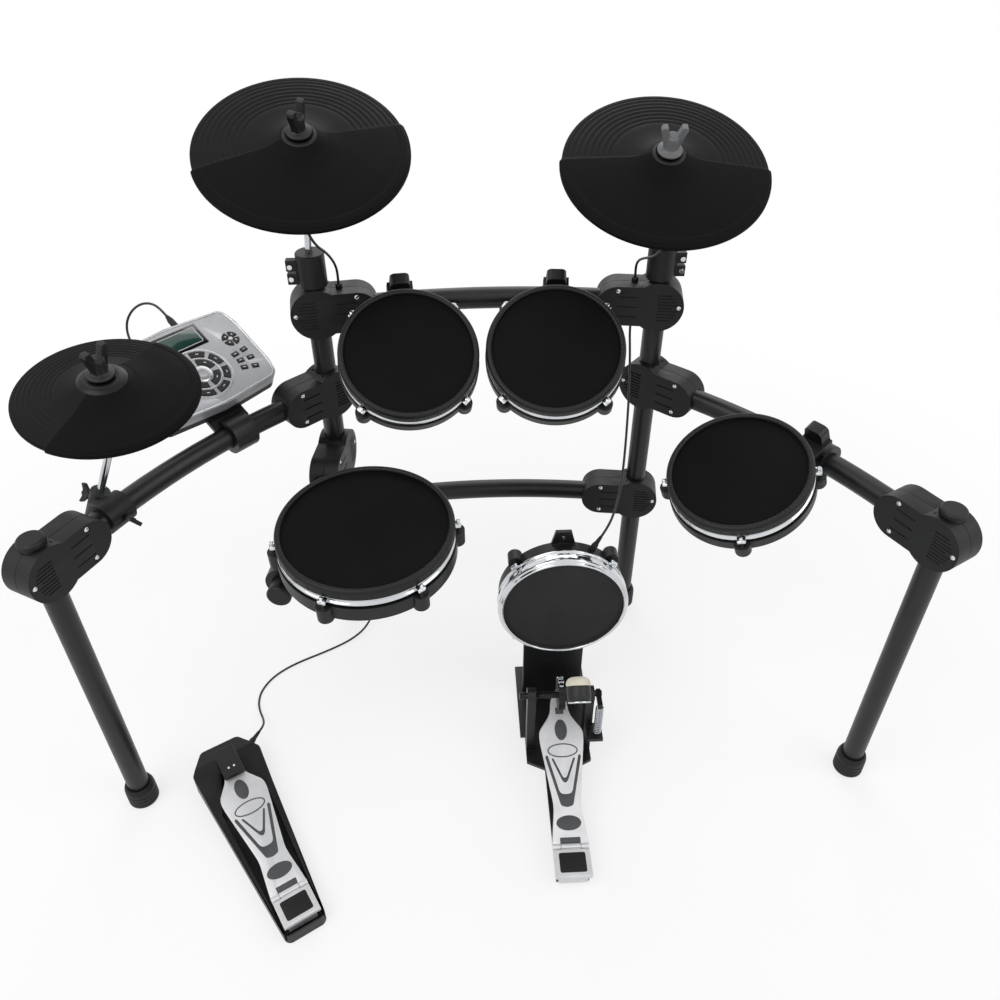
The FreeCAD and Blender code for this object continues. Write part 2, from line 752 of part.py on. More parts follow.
# Cup seats under the cymbals and the nuts above them
sleeve = "cymbal_rod_radius + seat_sleeve"
bottom = "-(ball_radius + ball_gap + seat_radius * 0.7)"
cup_top = "-(ball_radius + ball_gap) * cos(62)"
seat_blank = turned("cymbal_seat_blank", [
    ("cymbal_rod_radius + fit_gap", bottom), ("seat_radius * 0.65", bottom),
    ("seat_radius * 0.65", "-(ball_radius + ball_gap + seat_radius * 0.1)"),
    ("seat_radius", "-(ball_radius + ball_gap)"), ("seat_radius", cup_top), (sleeve, cup_top),
    (sleeve, "bell_rise + nut_lift"), ("cymbal_rod_radius + fit_gap", "bell_rise + nut_lift")])
sleeve_space = rod("sleeve_space", sleeve, "ball_radius * 2", at(-UP * value("ball_radius * 2")))
seat = cut("cymbal_seat", seat_blank, cut("cup_space", ball("cup_ball", "ball_radius + ball_gap"), sleeve_space))
nut_base = "bell_rise + nut_lift"
nut_top = f"{nut_base} + nut_height"
rod_end = f"{nut_base} + nut_height * 0.55"
nut_hub = turned("cymbal_nut_hub", [
    ("cymbal_rod_radius + fit_gap", f"{nut_base} + fit_gap"), ("nut_radius * 0.9", f"{nut_base} + fit_gap"),
    ("nut_radius * 0.9", f"{nut_base} + nut_height * 0.08"), ("nut_hub", f"{nut_base} + nut_height * 0.14"),
    ("nut_hub * 0.9", f"{nut_base} + nut_height * 0.62"), ("0", f"{nut_base} + nut_height * 0.62"), ("0", rod_end),
    ("cymbal_rod_radius + fit_gap", rod_end)])
wing_half = [
    ("nut_hub * 0.9", f"{nut_base} + nut_height * 0.1"), ("nut_radius * 0.95", f"{nut_top} - nut_height * 0.12"),
    ("nut_radius * 0.86", nut_top), ("nut_radius * 0.5", nut_top), ("nut_radius * 0.25", f"{nut_base} + nut_height * 0.66")]
nut_wings = plate("cymbal_nut_wings", both_sides(wing_half), "nut_wing", "XZ_Plane", True)
rod_space = rod("nut_rod_space", "cymbal_rod_radius + fit_gap", rod_end)
nut = fuse("cymbal_nut", nut_hub, cut("cymbal_nut_grip", nut_wings, rod_space))
seats = [copy(seat, at(centre, way)) for centre, way in cymbals.values()]
nuts = [copy(nut, at(centre, way, value(f"{name}_nut_turn"))) for name, (centre, way) in cymbals.items()]
node("cymbal_seats", *seats)
node("cymbal_wing_nuts", *nuts)


# Cymbal pads: a hard base on the ball of its seat, and a rubber cover with a wrapped strike edge
def cymbal_pieces(name, size):
    """The base and the cover of one cymbal pad, about its own centre."""
    def skin(depth):
        """The slope of the pad at a depth under its top face."""
        return [("cymbal_hole", f"bell_rise - {depth}"), ("bell_radius * 0.6", f"bell_rise - 2 - {depth}"),
                ("bell_radius", f"bell_rise * 0.33 - {depth}"), (f"{size} * 0.55", f"-edge_drop * 0.25 - {depth}")]

    cover_top = skin("0") + [
        (f"{size} - cover_thick", "-edge_drop"), (size, "-edge_drop - cover_thick * 0.6"),
        (size, "-edge_drop - cover_thick - edge_lip"), (f"{size} - cover_thick", "-edge_drop - cover_thick - edge_lip"),
        (f"{size} - cover_thick", "-edge_drop - cover_thick")]
    cover = turned(name + "_cover_turned", cover_top + skin("cover_thick")[::-1])
    inner = f"{size} - cover_thick - fit_gap"
    base_top = skin("(cover_thick + fit_gap)") + [
        (inner, "-edge_drop - cover_thick - fit_gap"), (inner, "-edge_drop - cover_thick - edge_lip"),
        (f"{inner} - edge_lip", "-edge_drop - cover_thick - edge_lip")]
    under = [(f"{size} * 0.55", "-edge_drop * 0.25 - cover_thick - edge_lip"), ("bell_radius", "-edge_lip"),
             ("cymbal_hole", "-edge_lip")]
    base = turned(name + "_base_turned", base_top + under)
    boss = block(name + "_jack_boss", "jack_boss", "jack_boss", "edge_lip * 4",
                 V(0, value(f"{size} * 0.3"), -value("edge_lip * 2.95")))
    socket = rod(name + "_jack_hole", "plug_radius * 0.6", "jack_boss",
                 at(V(0, value(f"{size} * 0.3"), -value("edge_lip * 3.2")), back))
    hole = rod(name + "_rod_hole", "cymbal_hole", "ball_radius * 2", at(-UP * value("ball_radius * 2")))
    pivot = cut(name + "_ball_ring", ball(name + "_ball", "ball_radius", -90, 0), hole)
    return cut(name + "_base_piece", fuse(name + "_base_blank", base, boss, pivot), socket), cover


large_base, large_cover = cymbal_pieces("large_cymbal", "cymbal_radius")
small_base, small_cover = cymbal_pieces("small_cymbal", "hihat_radius")
cymbal_frames = {}
for name, (centre, way) in cymbals.items():
    side = V(1, 0, 0) - way * way.x
    place = frame(centre, side, way)
    cymbal_frames[name] = place
    pivots[name] = (centre, place.Rotation.multVec(V(1, 0, 0)))
    base, cover = (small_base, small_cover) if name == "hihat" else (large_base, large_cover)
    node(name + "_base", copy(base, place))
    node(name + "_cover", copy(cover, place))


# Drum pads: shell, head, rim, hoop with claws, sensor and bracket about the centre of the head
def lug_ring(count):
    """The angles of the tension lugs."""
    return [360 / count * (index + 0.5) for index in range(count)]


def pad_pieces(kind, count):
    """The pieces of one size of pad."""
    head_radius = f"{kind}_head_radius"
    deep = f"{kind}_depth"
    tray = f"{head_radius} + {kind}_flare"
    skirt = f"{head_radius} + rim_width - rim_wall"
    hoop_in = f"{skirt} - fit_gap - hoop_wall"
    pieces = {}
    pieces["head"] = turned(kind + "_head_disc", [
        ("0", "-head_thick"), (f"{head_radius} + head_lap", "-head_thick"), (f"{head_radius} + head_lap", "0"), ("0", "0")])
    rim = [
        (head_radius, "fit_gap"), (f"{head_radius} + rim_width * 0.12", "rim_rise * 0.7"),
        (f"{head_radius} + rim_width * 0.38", "rim_rise"), (f"{head_radius} + rim_width * 0.76", "rim_rise * 0.85"),
        (f"{head_radius} + rim_width", "rim_rise * 0.2"), (f"{head_radius} + rim_width", "-rim_drop"),
        (skirt, "-rim_drop"), (skirt, "fit_gap")]
    hoop = turned(kind + "_hoop_ring", [
        (hoop_in, "-fit_gap"), (f"{skirt} - fit_gap", "-fit_gap"), (f"{skirt} - fit_gap", "-hoop_drop + hoop_flange"),
        (f"{head_radius} + rim_width", "-hoop_drop + hoop_flange"), (f"{head_radius} + rim_width", "-hoop_drop"),
        (hoop_in, "-hoop_drop")])
    pieces["rim"] = turned(kind + "_rim_ring", rim)
    bowl = turned(kind + "_bowl", [
        ("0", f"-{deep}"), (f"{tray} - shell_step", f"-{deep}"), (tray, f"-{deep} + shell_step"), (tray, "-tray_top"),
        (f"{head_radius} + shell_step", "-tray_top"), (f"{head_radius} + shell_step", "-head_thick - fit_gap"),
        (f"{head_radius} - shell_wall", "-head_thick - fit_gap"), (f"{head_radius} - shell_wall", f"shell_floor - {deep}"),
        ("0", f"shell_floor - {deep}")])
    lugs = []
    holes = []
    claws = []
    lift = value("claw_thick / 2 + hoop_flange + fit_gap - hoop_drop")
    claw_in = f"{head_radius} + rim_width - rim_wall"
    claw_length = value("tension_out + tension_head + claw_lip - rim_width + rim_wall")
    for angle in lug_ring(count):
        ray = FreeCAD.Placement(V(), FreeCAD.Rotation(UP, angle))
        out = value(f"{head_radius} + lug_out")
        rod_out = value(f"{head_radius} + tension_out")
        lugs.append(rod(kind + "_lug", "lug_radius", f"{deep} - tray_top", at(carry(ray, out, 0, -value(deep)))))
        low = value(f"-tray_top - ({deep} - tray_top) * 0.7")
        holes.append(rod(kind + "_rod_hole", "tension_rod + fit_gap", deep, at(carry(ray, rod_out, 0, low))))
        middle = value(claw_in) + claw_length / 2
        top = lift + value("claw_thick / 2")
        claws.append(fuse(
            kind + "_claw",
            block(kind + "_claw_hook", str(claw_length), "claw_width", "claw_thick", V(middle, 0, lift), ray),
            rod(kind + "_rod", "tension_rod", str(top - low - value("fit_gap")),
                at(carry(ray, rod_out, 0, low + value("fit_gap")))),
            rod(kind + "_rod_head", "tension_head", "claw_thick", at(carry(ray, rod_out, 0, top)))))
    pieces["shell"] = cut(kind + "_shell_piece", fuse(kind + "_shell_blank", bowl, *lugs), *holes)
    pieces["hoop"] = doc.addObject("Part::Compound", kind + "_hoop_set")
    pieces["hoop"].Links = [hoop, *claws]
    pieces["sensor"] = turned(kind + "_sensor", [
        ("0", f"shell_floor + fit_gap - {deep}"), ("sensor_radius", f"shell_floor + fit_gap - {deep}"),
        ("sensor_radius", f"shell_floor * 2 - {deep}"), ("sensor_radius * 0.7", f"shell_floor * 2 - {deep}"),
        ("sensor_tip", "-head_thick - fit_gap"), ("0", "-head_thick - fit_gap")])
    return pieces


def bracket(kind, pitch=0):
    """The bracket that holds a pad on a bar, in the frame of the pad, which climbs along the bar by pitch."""
    edge = f"{kind}_head_radius + rim_width"
    bar_y = value(f"{edge} + {kind}_reach")
    bar_z = -value(f"{kind}_depth + {kind}_drop")
    low = value("bracket_plate / 2")
    start = value(f"{kind}_head_radius - bracket_lap")
    finish = bar_y + value("bracket_tab / 2")
    shelf = block(kind + "_shelf", "bracket_width", str(finish - start), "bracket_plate",
                  V(0, (start + finish) / 2, -value(f"{kind}_depth") - low))
    tab = rounded(plate(kind + "_tab", [
        ("-bracket_width / 2", str(bar_z)), ("bracket_width / 2", str(bar_z)), ("bracket_width * 0.36", f"-{kind}_tab_top"),
        ("-bracket_width * 0.36", f"-{kind}_tab_top")], "bracket_tab"), "bracket_tab * 0.45")
    tab.Placement = FreeCAD.Placement(V(0, bar_y + value("bracket_tab / 2"), 0), FreeCAD.Rotation(V(1, 0, 0), 90))
    bar = V(0, bar_y, bar_z)
    way = FreeCAD.Rotation(V(0, 1, 0), pitch).multVec(V(1, 0, 0))
    ring = rod(kind + "_ring", "bracket_ring", "bracket_width", at(bar - way * value("bracket_width / 2"), way))
    hole = rod(kind + "_ring_hole", "tube_radius + turn_gap", "bracket_width * 2",
               at(bar - way * value("bracket_width"), way))
    return cut(kind + "_bracket", fuse(kind + "_bracket_blank", shelf, tab, ring), hole), bar_y, bar_z


tom_pieces = pad_pieces("tom", 4)
snare_pieces = pad_pieces("snare", 6)
tom_bracket, tom_bar_y, tom_bar_z = bracket("tom")
snare_bracket, snare_bar_y, snare_bar_z = bracket("snare", value("snare_pitch"))


def pad(label, pieces, hanger, bar, spot, tangent, slope, spin=0, pitch=0, shift=0):
    """One pad on its bar: the frame is set so that the ring of its bracket lies on the bar, shifted along it."""
    seat = tilted(spot, tangent, slope)
    hung = seat.multiply(FreeCAD.Placement(V(), FreeCAD.Rotation(V(0, 1, 0), -pitch)))
    place = hung.multiply(FreeCAD.Placement(V(0, -bar[0], -bar[1]), FreeCAD.Rotation()))
    spun = place.multiply(FreeCAD.Placement(V(-shift, 0, 0), FreeCAD.Rotation(UP, spin)))
    node(label + "_shell", copy(pieces["shell"], spun), copy(pieces["sensor"], spun), copy(hanger, place))
    for part in ("head", "rim", "hoop"):
        node(f"{label}_{part}", copy(pieces[part], spun))
    pivots[label] = (spot, seat.Rotation.multVec(V(1, 0, 0)))
    pivots[label + "_face"] = (spun.Base, spun.Rotation.multVec(UP))


tom_bar = (tom_bar_y, tom_bar_z)
tom_half = value("tom_head_radius + rim_width + tom_gap / 2")
tom_slope = math.radians(value("tom_tilt"))
tom_forward = tom_bar_y * math.cos(tom_slope) - tom_bar_z * math.sin(tom_slope)
fan = upper.radius / (upper.radius - tom_forward)
for label, side in (("tom_1", -1), ("tom_2", 1)):
    spot, tangent = upper.spot((side * tom_half - value("tom_pair_x")) * fan)
    pad(label, tom_pieces, tom_bracket, tom_bar, spot, tangent, value("tom_tilt"))
spot, tangent = right_wing.spot(-value("tom_3_along + tom_3_shift"))
pad("tom_3", tom_pieces, tom_bracket, tom_bar, spot, -tangent if tangent.y > 0 else tangent, value("tom_3_tilt"),
    value("tom_3_lug_turn"), shift=value("tom_3_shift"))
arm_spot = arm_root + arm_way * value("snare_along")
pad("snare", snare_pieces, snare_bracket, (snare_bar_y, snare_bar_z), arm_spot, -arm_way, value("snare_tilt"),
    value("snare_lug_turn"), value("snare_pitch"))

# Kick pad, upright on its tower
kick_pieces = pad_pieces("kick", 4)
kick_place = FreeCAD.Placement(V(value("kick_x"), -value("kick_face"), value("kick_z")),
                               FreeCAD.Rotation(V(1, 0, 0), V(0, 0, 1), V(0, -1, 0), "XYZ"))
kick_edge = "kick_head_radius + kick_flare"
kick_tab = plate("kick_tab", [
    ("-bracket_width * 0.5", f"{kick_edge} - shell_wall"), ("bracket_width * 0.5", f"{kick_edge} - shell_wall"),
    ("bracket_width * 0.32", f"{kick_edge} + lug_out * 2"), ("-bracket_width * 0.32", f"{kick_edge} + lug_out * 2")],
    "bracket_plate")
kick_tab.Placement = FreeCAD.Placement(V(0, 0, -value("kick_depth")), FreeCAD.Rotation())
kick_hole = rod("kick_tab_hole", "tension_head", "kick_depth", at(V(0, value(f"{kick_edge} + lug_out"), -value("kick_depth"))))
kick_shell = cut("kick_shell_tabbed", fuse("kick_shell_blank_2", kick_pieces["shell"], kick_tab), kick_hole)
node("kick_shell", copy(kick_shell, kick_place), copy(kick_pieces["sensor"], kick_place))
node("kick_head", copy(kick_pieces["head"], kick_place))
node("kick_hoop", copy(kick_pieces["hoop"], kick_place), copy(kick_pieces["rim"], kick_place))
pedal_x = value("pedal_x")
tower_y = -value("kick_face - kick_depth")
base_front = -value("axle_y - post_deep")
base_back = -value("tower_back")
tower = fuse(
    "tower",
    block("tower_plate_block", "tower_width", "tower_plate", "tower_top",
          V(pedal_x, tower_y + value("tower_plate / 2"), value("tower_top / 2"))),
    block("tower_base", "tower_width * 1.2", str(base_back - base_front), "floor_plate",
          V(pedal_x, (base_back + base_front) / 2, value("floor_plate / 2"))),
    *[block("tower_gusset", "floor_plate", str(base_back - tower_y), "tower_top * 0.45",
            V(pedal_x + side * value("tower_width * 0.4"), (base_back + tower_y) / 2, value("tower_top * 0.225")))
      for side in (-1, 1)])
node("kick_tower", tower)


# Footboard with hinge knuckles, and the heel plate with the hinge pin; both pedals use them
def footboard():
    """A footboard about the axis of its hinge, with its toe along Y."""
    sides = [("notch_half", "hinge_radius * 1.2"), ("notch_half", "0"), ("board_heel", "0"),
             ("board_waist", "board_length - waist_back"), ("board_shoulder", "board_length - shoulder_back"),
             ("board_toe", "board_length - board_toe * 0.6"), ("board_toe * 0.7", "board_length")]
    deck = plate("deck", both_sides(sides), "board_thick")
    deck.Placement = FreeCAD.Placement(V(0, 0, -value("board_thick / 2")), FreeCAD.Rotation())
    width = "board_heel - notch_half"
    knuckles = [rod("knuckle", "hinge_radius", width, at(V(start, 0, 0), V(1, 0, 0)))
                for start in (value("notch_half"), -value("board_heel"))]
    hole = rod("knuckle_hole", "hinge_pin + fit_gap", "board_heel * 2", at(V(-value("board_heel"), 0, 0), V(1, 0, 0)))
    return cut("footboard", fuse("footboard_blank", deck, *knuckles), hole)


def heel_plate():
    """A heel plate behind the hinge, with the tongue and the pin of the hinge."""
    gap = "turn_gap"
    top = "hinge_radius"
    start = value(f"-heel_length - hinge_radius - {gap} * 2")
    finish = value(f"-hinge_radius - {gap} * 2")
    pad_block = block("heel_block", "board_heel * 2", "heel_length", "heel_thick",
                      V(0, (start + finish) / 2, value(f"{top} - heel_thick / 2")))
    tongue = block("heel_tongue", f"notch_half * 2 - {gap} * 2", str(-finish + value("hinge_radius")), "hinge_radius",
                   V(0, (finish - value("hinge_radius")) / 2, 0))
    barrel_start = V(-value(f"notch_half - {gap}"), 0, 0)
    barrel = rod("heel_barrel", "hinge_radius", f"notch_half * 2 - {gap} * 2", at(barrel_start, V(1, 0, 0)))
    pin = rod("heel_pin", "hinge_pin", "board_heel * 2 - fit_gap * 2",
              at(V(-value("board_heel - fit_gap"), 0, 0), V(1, 0, 0)))
    foot_block = block("heel_foot", "board_heel * 1.6", "heel_length * 0.8", "hinge_z + hinge_radius - heel_thick - floor_plate",
                       V(0, (start + finish) / 2, value("(floor_plate - hinge_z + hinge_radius - heel_thick) / 2")))
    return fuse("heel_plate", pad_block, tongue, barrel, pin, foot_block)


board = footboard()
heel = heel_plate()
kick_hinge = V(pedal_x, -value("hinge_y"), value("hinge_z"))
kick_board = FreeCAD.Placement(kick_hinge, FreeCAD.Rotation(V(1, 0, 0), value("kick_slope")))
pivots["footboard"] = (kick_hinge, V(1, 0, 0))

# Beater pedal: frame, axle with cam and lever, beater, chain and return spring
axle_y, axle_z = -value("axle_y"), value("axle_z")
axle = V(pedal_x, axle_y, axle_z)
frame_out = "post_out + post_wide / 2"
frame_in = "board_heel * 0.9"
floor_board = plate("pedal_floor", both_sides([
    (frame_in, str(kick_hinge.y - value("heel_length * 0.9"))), (frame_in, str(axle_y - value("post_deep * 2.2"))),
    (frame_out, str(axle_y - value("post_deep * 1.5"))), (frame_out, str(base_front))]), "floor_plate")
floor_board.Placement = FreeCAD.Placement(V(pedal_x, 0, 0), FreeCAD.Rotation())
frame_parts = [floor_board]
for side in (-1, 1):
    post_middle = pedal_x + side * value("post_out")
    frame_parts.append(block("pedal_post", "post_wide", "post_deep", "axle_z",
                             V(post_middle, axle_y, value("axle_z / 2"))))
    frame_parts.append(rod("pedal_bearing", "bearing_radius", "post_wide",
                           at(V(post_middle - value("post_wide / 2"), axle_y, axle_z), V(1, 0, 0))))
spring_spot = V(pedal_x + value("lever_out"), axle_y - value("lever_reach"), 0)
spring_low = value("spring_low")
frame_parts.append(block("spring_lug", "lever_out - post_out + spring_radius * 2", "lever_reach + post_deep / 2",
                         "floor_plate",
                         V(pedal_x + value("(lever_out + post_out) / 2 + spring_radius / 2"),
                           axle_y - value("(lever_reach + post_deep / 2) / 2 - spring_radius / 2 + spring_radius"),
                           spring_low - value("floor_plate / 2"))))
frame_parts.append(rod("spring_stem", "spring_radius * 0.4", "spring_radius * 2", at(spring_spot + UP * spring_low)))
frame_hole = rod("pedal_axle_hole", "axle_radius + turn_gap * 0.2", "axle_half * 2",
                 at(axle - V(value("axle_half"), 0, 0), V(1, 0, 0)))
node("pedal_frame", cut("pedal_frame_piece", fuse("pedal_frame_blank", *frame_parts), frame_hole))
node("pedal_footboard", copy(board, kick_board))
node("pedal_heel_plate", copy(heel, FreeCAD.Placement(kick_hinge, FreeCAD.Rotation())))
lever_thick = "post_wide / 2"
beater_turn = FreeCAD.Placement(V(), FreeCAD.Rotation(V(1, 0, 0), value("beater_lean")))
lever_mid = V(value("lever_out"), -value("lever_reach / 2"), 0)
axle_piece = fuse(
    "axle_set",
    rod("axle_bar", "axle_radius", "axle_half * 2", at(V(-value("axle_half"), 0, 0), V(1, 0, 0))),
    rod("cam", "cam_radius", "cam_width", at(V(-value("cam_width / 2"), 0, 0), V(1, 0, 0))),
    block("beater_hub", "beater_radius * 0.9", "beater_radius * 1.2", "beater_radius * 1.2",
          V(value("beater_x"), 0, 0), beater_turn),
    block("spring_lever", lever_thick, "lever_reach + axle_radius * 2", "axle_radius * 2", lever_mid))
node("pedal_axle", copy(axle_piece, FreeCAD.Placement(axle, FreeCAD.Rotation())))
pivots["axle"] = (axle, V(1, 0, 0))
hub_top = value("beater_radius * 0.6")
felt = turned("beater_head", [
    ("0", "-beater_length / 2"), ("beater_radius * 0.7", "-beater_length / 2"), ("beater_radius", "-beater_length * 0.4"),
    ("beater_radius", "beater_length * 0.3"), ("beater_radius * 0.8", "beater_length * 0.43"),
    ("beater_radius * 0.4", "beater_length * 0.5"), ("0", "beater_length * 0.5")])
felt.Placement = at(V(0, 0, value("beater_reach")), back)
beater = fuse("beater_set", rod("beater_bar", "beater_shaft", "beater_reach - beater_radius * 0.6", at(V(0, 0, hub_top))),
              felt)
beater_place = FreeCAD.Placement(axle + V(value("beater_x"), 0, 0), beater_turn.Rotation)
node("pedal_beater", copy(beater, beater_place))
chain_y = axle_y + value("cam_radius + turn_gap + chain_thick / 2")
toe_run = (chain_y - kick_hinge.y) / math.cos(math.radians(value("kick_slope")))
toe_top = kick_hinge.z + math.sin(math.radians(value("kick_slope"))) * toe_run + value("board_thick * 0.7")
links = []
for index in range(5):
    height = toe_top + value("chain_pitch") * (index + 0.5)
    wide = "chain_width" if index % 2 == 0 else "chain_width * 0.6"
    links.append(block("chain_link", wide, "chain_thick", "chain_pitch", V(pedal_x, chain_y, height)))
node("pedal_chain", *links)


def coil(centre, low, high, radius, wire, turns):
    """A close spring as one tube on arcs that follow its helix."""
    def point(angle):
        """The place and the direction of the wire at an angle of the helix."""
        share = angle / (2 * math.pi * turns)
        spot = V(centre.x + radius * math.cos(angle), centre.y + radius * math.sin(angle), low + (high - low) * share)
        way = V(-radius * math.sin(angle), radius * math.cos(angle), (high - low) / (2 * math.pi * turns))
        return spot, way.normalize()

    edges = []
    steps = int(turns * 4)
    for index in range(steps):
        start, leave = point(index * math.pi / 2)
        finish, arrive = point((index + 1) * math.pi / 2)
        span = finish - start
        both = leave + arrive
        spread = 2 * (1 - leave.dot(arrive))
        reach = (-span.dot(both) + math.sqrt(span.dot(both) ** 2 + spread * span.dot(span))) / spread
        first, second = start + leave * reach, finish - arrive * reach
        middle = (first + second) * 0.5
        edges += [corner_arc(start, first, middle)[0], corner_arc(middle, second, finish)[0]]
    start, leave = point(0)
    print("spring gap between turns", round((high - low) / turns - 2 * wire, 2))
    return swept(Part.Wire(edges), start, leave, wire)


wire = value("spring_wire")
spring_top = axle_z - value("axle_radius") - wire - value("turn_gap * 0.6")
node("pedal_spring", solid("return_spring", coil(
    spring_spot, spring_low + wire + value("turn_gap * 0.6"), spring_top, value("spring_radius"), wire,
    value("spring_turns"))))
pivots["spring_low"] = (spring_spot + UP * spring_low, UP)

# Hi-hat pedal: base with a toe housing, footboard and heel plate
hat_hinge = V(-value("pedal_heel_x"), -value("pedal_heel_y"), value("hinge_z"))
hat_turn = value("pedal_turn")
hat_level = FreeCAD.Placement(hat_hinge, FreeCAD.Rotation(UP, hat_turn))
hat_floor = FreeCAD.Placement(V(hat_hinge.x, hat_hinge.y, 0), FreeCAD.Rotation(UP, hat_turn))
hat_board = hat_level.multiply(FreeCAD.Placement(V(), FreeCAD.Rotation(V(1, 0, 0), value("hihat_slope"))))
pivots["hihat_board"] = (hat_hinge, hat_level.Rotation.multVec(V(1, 0, 0)))
heel_end = "-heel_length - hinge_radius * 2 - heel_rail"
base_blank = rounded(plate("hat_base_blank", both_sides([
    ("board_heel + heel_rail", heel_end), ("toe_half", "toe_back"), ("toe_flat", "toe_end")]), "toe_height"), "toe_round")
over_rails = plate("hat_over_rails", [
    (f"{heel_end} - toe_round", "rail_height"), ("toe_front", "rail_height"), ("toe_back + toe_round", "toe_height"),
    ("toe_back + toe_round", "toe_height * 2"), (f"{heel_end} - toe_round", "toe_height * 2")],
    "toe_half * 3", "YZ_Plane", True)
channel = plate("hat_channel", both_sides([
    ("board_heel + board_play", f"{heel_end} + heel_rail"), ("board_heel + board_play", "0"),
    ("board_shoulder + board_play", "board_length - shoulder_back"),
    ("board_toe + board_play", "board_length + board_play")]), "toe_height")
channel.Placement = FreeCAD.Placement(UP * value("floor_plate"), FreeCAD.Rotation())
cap_back = value("toe_back")
cap_post = block("hat_cap_post", "cap_half * 2", "toe_round", "cap_rise - floor_plate",
                 V(0, cap_back - value("toe_round / 2"), value("(cap_rise + floor_plate) / 2")))
cap_roof = block("hat_cap_roof", "cap_half * 2", "toe_back - cap_front", "heel_thick",
                 V(0, (cap_back + value("cap_front")) / 2, value("cap_rise - heel_thick / 2")))
hat_base = fuse("hat_base", cut("hat_housing", base_blank, over_rails, channel), cap_post, cap_roof)
node("hihat_pedal_base", copy(hat_base, hat_floor))
node("hihat_footboard", copy(board, hat_board))
node("hihat_heel_plate", copy(heel, hat_level))

# Sound module on the left wing: case with pockets for its keys, back, screen, keys and bracket
module_spot, module_tangent = left_wing.spot(value("module_along"))
module_seat = tilted(module_spot, module_tangent, value("module_tilt"))
module_y = value("bracket_ring + module_reach")
module_z = value("module_back + module_case + bracket_plate")
module_place = module_seat.multiply(FreeCAD.Placement(V(0, module_y, module_z), FreeCAD.Rotation()))
module_mid = value("module_depth / 2")
pivots["module"] = (module_spot, module_place.Rotation.multVec(V(1, 0, 0)))
pivots["module_face"] = (carry(module_place, 0, module_mid, 0), module_place.Rotation.multVec(UP))
module_sides = [("module_width / 2 - module_bulge", "0"), ("module_width / 2", "module_depth * 0.2"),
                ("module_width / 2", "module_depth * 0.8"), ("module_width / 2 - module_bulge", "module_depth")]
module_round = [("0", "-module_bulge")] + module_sides + [("0", "module_depth + module_bulge")]
module_round += [(f"-({across})", upward) for across, upward in module_sides[::-1]]
case_blank = rounded(plate("module_case_blank", module_round, "module_case"), "module_corner")
case_blank.Placement = FreeCAD.Placement(V(0, 0, -value("module_case")), FreeCAD.Rotation())
back_blank = rounded(plate("module_back_blank", module_round, "module_back - fit_gap"), "module_corner")
back_blank.Placement = FreeCAD.Placement(V(0, 0, -value("module_case + module_back")), FreeCAD.Rotation())


def sector(name, grow, deep, inner, wide, start, span, centre):
    """A curved key, or the pocket for it when it is grown."""
    extra = math.degrees(grow / (inner + wide / 2))
    low = FreeCAD.Placement(centre + UP * deep, FreeCAD.Rotation(UP, start - extra))
    lift = value("key_rise") - deep
    outer = rod(name, str(inner + wide + grow), str(lift), low, str(span + 2 * extra))
    return cut(name + "_arc", outer, rod(name + "_inside", str(inner - grow), str(lift), low, 360))


dial = V(0, value("dial_y"), 0)
cursor = V(value("cursor_x"), value("cursor_y"), 0)
key_gap = value("key_gap")
key_deep = -value("key_sink")
pocket_deep = key_deep - value("key_rise") - key_gap
ring_keys = []
function_keys = []
pockets = []
rings = ((ring_keys, dial, "ring_radius - ring_width", "ring_width", "outer_keys"),
         (ring_keys, dial, "ring_inner - ring_inner_width", "ring_inner_width", "inner_keys"),
         (function_keys, cursor, "cursor_radius - cursor_width", "cursor_width", "cursor_keys"))
for keys, middle, inner, wide, number in rings:
    count = round(value(number))
    for index in range(count):
        span = 360 / count * 0.76
        start = 360 / count * (index + 0.12)
        shape = (value(inner), value(wide), start, span, middle)
        keys.append(sector("ring_key", 0, key_deep, *shape))
        pockets.append(sector("ring_pocket", key_gap, pocket_deep, *shape))
for side in (0, 1):
    for line in (0, 1):
        for step in (-1.5, -0.5, 0.5):
            spin = step * value("key_arc_turn")
            ray = FreeCAD.Placement(dial, FreeCAD.Rotation(UP, 180 - spin if side else spin))
            out = value("key_arc") + line * value("key_arc_step")
            tall = value("key_rise") - key_deep
            deep = value("key_rise") - pocket_deep
            function_keys.append(block("function_key", "key_long", "key_short", str(tall),
                                       V(out, 0, key_deep + tall / 2), ray))
            pockets.append(block("function_pocket", "key_long + key_gap * 2", "key_short + key_gap * 2", str(deep),
                                 V(out, 0, pocket_deep + deep / 2), ray))
screen_spot = V(value("screen_x"), value("screen_y"), 0)
screen = block("screen_block", "screen_width", "screen_depth", "key_sink", screen_spot - UP * value("key_sink / 2 - fit_gap"))
pockets.append(block("screen_pocket", "screen_width + key_gap", "screen_depth + key_gap", "key_sink * 2", screen_spot))
case_piece = cut("module_case_piece", case_blank, *pockets)
node("module_case", copy(case_piece, module_place))
plug = turned("plug", [
    ("0", "0"), ("plug_radius", "0"), ("plug_radius", "plug_length * 0.65"), ("cord_radius * 1.4", "plug_length"),
    ("0", "plug_length")])
module_fall = "(module_jack_x - plug_radius) / (module_width / 2 - module_bulge)"
module_end = value(f"module_depth + module_bulge * (1 - {module_fall}) + fit_gap")
module_jack = module_place.multiply(at(V(value("module_jack_x"), module_end, -value("module_case * 0.7")), back))
node("module_back", copy(back_blank, module_place), copy(plug, module_jack))
node("module_screen", copy(screen, module_place))
node("module_ring_keys", *[copy(key, module_place) for key in ring_keys])
node("module_function_keys", *[copy(key, module_place) for key in function_keys])
plate_low = module_z - value("module_case + module_back + bracket_plate / 2")
arm_plate = block("module_plate", "bracket_width * 1.6", str(module_y + module_mid), "bracket_plate",
                  V(0, (module_y + module_mid) / 2, plate_low))
module_left = V(-value("bracket_width / 2"), 0, 0)
